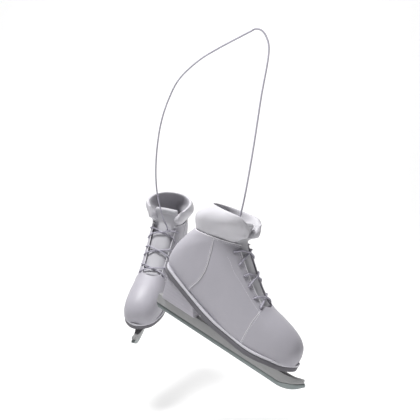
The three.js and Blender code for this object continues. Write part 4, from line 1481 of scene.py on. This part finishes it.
def on_skin(x, z):
    away = (table_points[..., 0] - x) ** 2 + (table_points[..., 2] - z) ** 2
    i, k = np.unravel_index(int(np.argmin(away)), away.shape)
    if away[i, k] > 1.6:
        return None
    return upper_points(table_t[i], table_turn[k]), upper_way_out(table_t[i], table_turn[k])


def seam_rows(line, shift, spacing, lift, keep):
    line = np.array([(x, 0, z) for x, z in line])
    even = even_line(line, 0.6)
    ways = np.gradient(even, axis=0)
    sideways = np.stack([-ways[:, 2], 0 * ways[:, 0], ways[:, 0]], 1)
    sideways /= np.linalg.norm(sideways, axis=1)[:, None]
    found = []
    for x, _, z in even + sideways * shift:
        hit = on_skin(x, z) if keep(x, z) else None
        if hit is not None:
            found.append((hit[0] + hit[1] * lift, hit[1]))
    spots = np.array([f[0] for f in found])
    for _ in range(45):
        spots[1:-1] = 0.25 * spots[:-2] + 0.5 * spots[1:-1] + 0.25 * spots[2:]
    outs = np.array([f[1] for f in found])
    run = np.concatenate([[0], np.cumsum(np.linalg.norm(np.diff(spots, axis=0), axis=1))])
    at = np.arange(spacing / 2, run[-1], spacing)
    pick = lambda values: np.stack([np.interp(at, run, values[:, k]) for k in range(3)], 1)
    even_spots = pick(spots)
    return even_spots, np.gradient(even_spots, axis=0), pick(outs)


def throat_rows(offset):
    spots, outs = [], []
    for s in np.arange(5, throat_length - 3, 0.8):
        point, way = gap_edge(s, throat_half(s) + offset, 1)
        spots.append(point + way * 0.15)
        outs.append(way)
    spots = even_line(np.array(spots), stitch_spacing)
    nearest = [min(int(i * len(outs) / len(spots)), len(outs) - 1) for i in range(len(spots))]
    return spots, np.gradient(spots, axis=0), np.array([outs[i] for i in nearest])


def on_vamp(x, z):
    return sole_top(x) + 2 < z < ball_rise + 60


def on_counter(margin):
    return lambda x, z: sole_top(x) + 2 < z < seam_height(x) - margin


def behind_throat(margin):
    return lambda x, z: x < throat_top[0] - margin


rows = {
    "vamp": seam_rows(vamp_seam, -2.2, stitch_spacing, 0.85, on_vamp),
    "counter": seam_rows(counter_seam, 2.2, stitch_spacing, 0.85, on_counter(2)),
    "cuff": seam_rows(cuff_seam, -2.6, stitch_spacing, 0.15, behind_throat(4)),
    "throat": throat_rows(2.3),
    "throat_far": throat_rows(8.6),
}
for side in directions:
    for name, (spots, ways, outs) in rows.items():
        both = []
        for sign in (1, -1):
            mirror = np.array([1, sign, 1])
            around_middle = spots.copy()
            middle = inward(spots[:, 0])
            around_middle[:, 1] = middle + sign * (spots[:, 1] - middle)
            both.append((around_middle, ways * mirror, outs * mirror))
        spots2, ways2, outs2 = (np.concatenate([pair[k] for pair in both]) for k in range(3))
        turned = lambda v: to_world(side, v) - to_world(side, [(0, 0, 0)])
        stitched(f"{side}_{name}_stitches", to_world(side, spots2), turned(ways2), turned(outs2),
                 f"{side}_skate")
    print(side, "stitches", {name: 2 * len(row[0]) for name, row in rows.items()})

# %% [markdown]
# A thin pale piping is laid along each seam, and a binding covers the cut edge of the lacing gap.
# Both are small cords that lie half sunk in the leather, so they read as one light line.

# %% piping and binding
def piping(side, name, spots, radius):
    for sign in (1, -1):
        line = np.array(spots, float)
        middle = inward(line[:, 0])
        line[:, 1] = middle + sign * (line[:, 1] - middle)
        cord = tube(f"{side}_{name}_{'in' if sign > 0 else 'out'}", to_world(side, line), radius, 8)
        finish_piece(cord, binding_leather, f"{side}_skate", angle=180)


def throat_binding():
    spots = [gap_edge(s, throat_half(s) + 0.2, 1) for s in np.arange(7, throat_length - 1, 1.5)]
    return np.array([point + way * 0.1 for point, way in spots])


pipe_step = 1.6
pipes = {
    "vamp_piping": (seam_rows(vamp_seam, 0.0, pipe_step, 0.5, on_vamp)[0], 0.0006),
    "counter_piping": (seam_rows(counter_seam, 0.0, pipe_step, 0.5, on_counter(0))[0], 0.0006),
    "cuff_piping": (seam_rows(cuff_seam, 0.3, pipe_step, -0.2, behind_throat(1))[0], 0.0010),
    "throat_binding": (throat_binding(), 0.0009),
}
for side in directions:
    for name, (spots, radius) in pipes.items():
        piping(side, name, spots, radius)
print("piping", {name: len(pipe[0]) for name, pipe in pipes.items()})

# %% [markdown]
# The room: a pale floor that rises into a pale wall, as in a product studio. A large soft lamp from
# high on the left gives the boots their gentle fall from light to grey, and the wall shines a
# little of its own so that it stays white behind the dark laces.

# %% studio
floor_drop, floor_half, sweep = 0.72, 4, 0.9


def studio_floor():
    bend = np.linspace(0.1, math.pi / 2, 12)
    depth = np.concatenate([np.linspace(-3.0, sweep, 8), sweep + sweep * np.sin(bend), [1.8]])
    height = np.concatenate([np.zeros(8), sweep - sweep * np.cos(bend), [5.0]])
    points, faces = [], []
    for y, z in zip(depth, height):
        points += [(-floor_half, y, z - floor_drop), (floor_half, y, z - floor_drop)]
    for i in range(len(depth) - 1):
        faces.append((2 * i, 2 * i + 1, 2 * i + 3, 2 * i + 2))
    return add_mesh("studio_floor", points, faces)


floor = studio_floor()
paper = Finish("studio_paper", Roughness=0.9, Emission_Strength=0.6)
paper_fibre = paper.noise(30, 4)
floor.data.materials.append(
    paper.set(Base_Color=paper.blend(paper_fibre, (0.5, 0.5, 0.5), (0.47, 0.47, 0.47)),
              Emission_Color=(1.0, 1.0, 1.0))
)


def lamp(name, place, aim, size, power, color=(1, 1, 1)):
    data = bpy.data.lights.new(name, "AREA")
    data.shape, data.size, data.energy, data.color = "DISK", size, power, color
    made = bpy.data.objects.new(name, data)
    made.location = place
    made.rotation_mode = "QUATERNION"
    made.rotation_quaternion = (Vector(aim) - Vector(place)).to_track_quat("-Z", "Y")
    bpy.context.scene.collection.objects.link(made)


lamp("key_lamp", (-0.55, -0.35, 1.25), (-0.08, 0.0, -0.35), 0.6, 44)
lamp("fill_lamp", (1.3, -1.5, 0.3), (-0.08, 0.0, -0.4), 1.4, 0.5, (0.95, 0.96, 1.0))
lamp("wall_lamp", (0, 0.5, 1.9), (0, 1.8, 0.2), 2.0, 18)
world = bpy.data.worlds.new("studio_light")
world.use_nodes = True
world.node_tree.nodes["Background"].inputs[0].default_value = (0.9, 0.9, 0.95, 1)
world.node_tree.nodes["Background"].inputs[1].default_value = 0.05
bpy.context.scene.world = world
bpy.context.scene.view_settings.view_transform = "Standard"
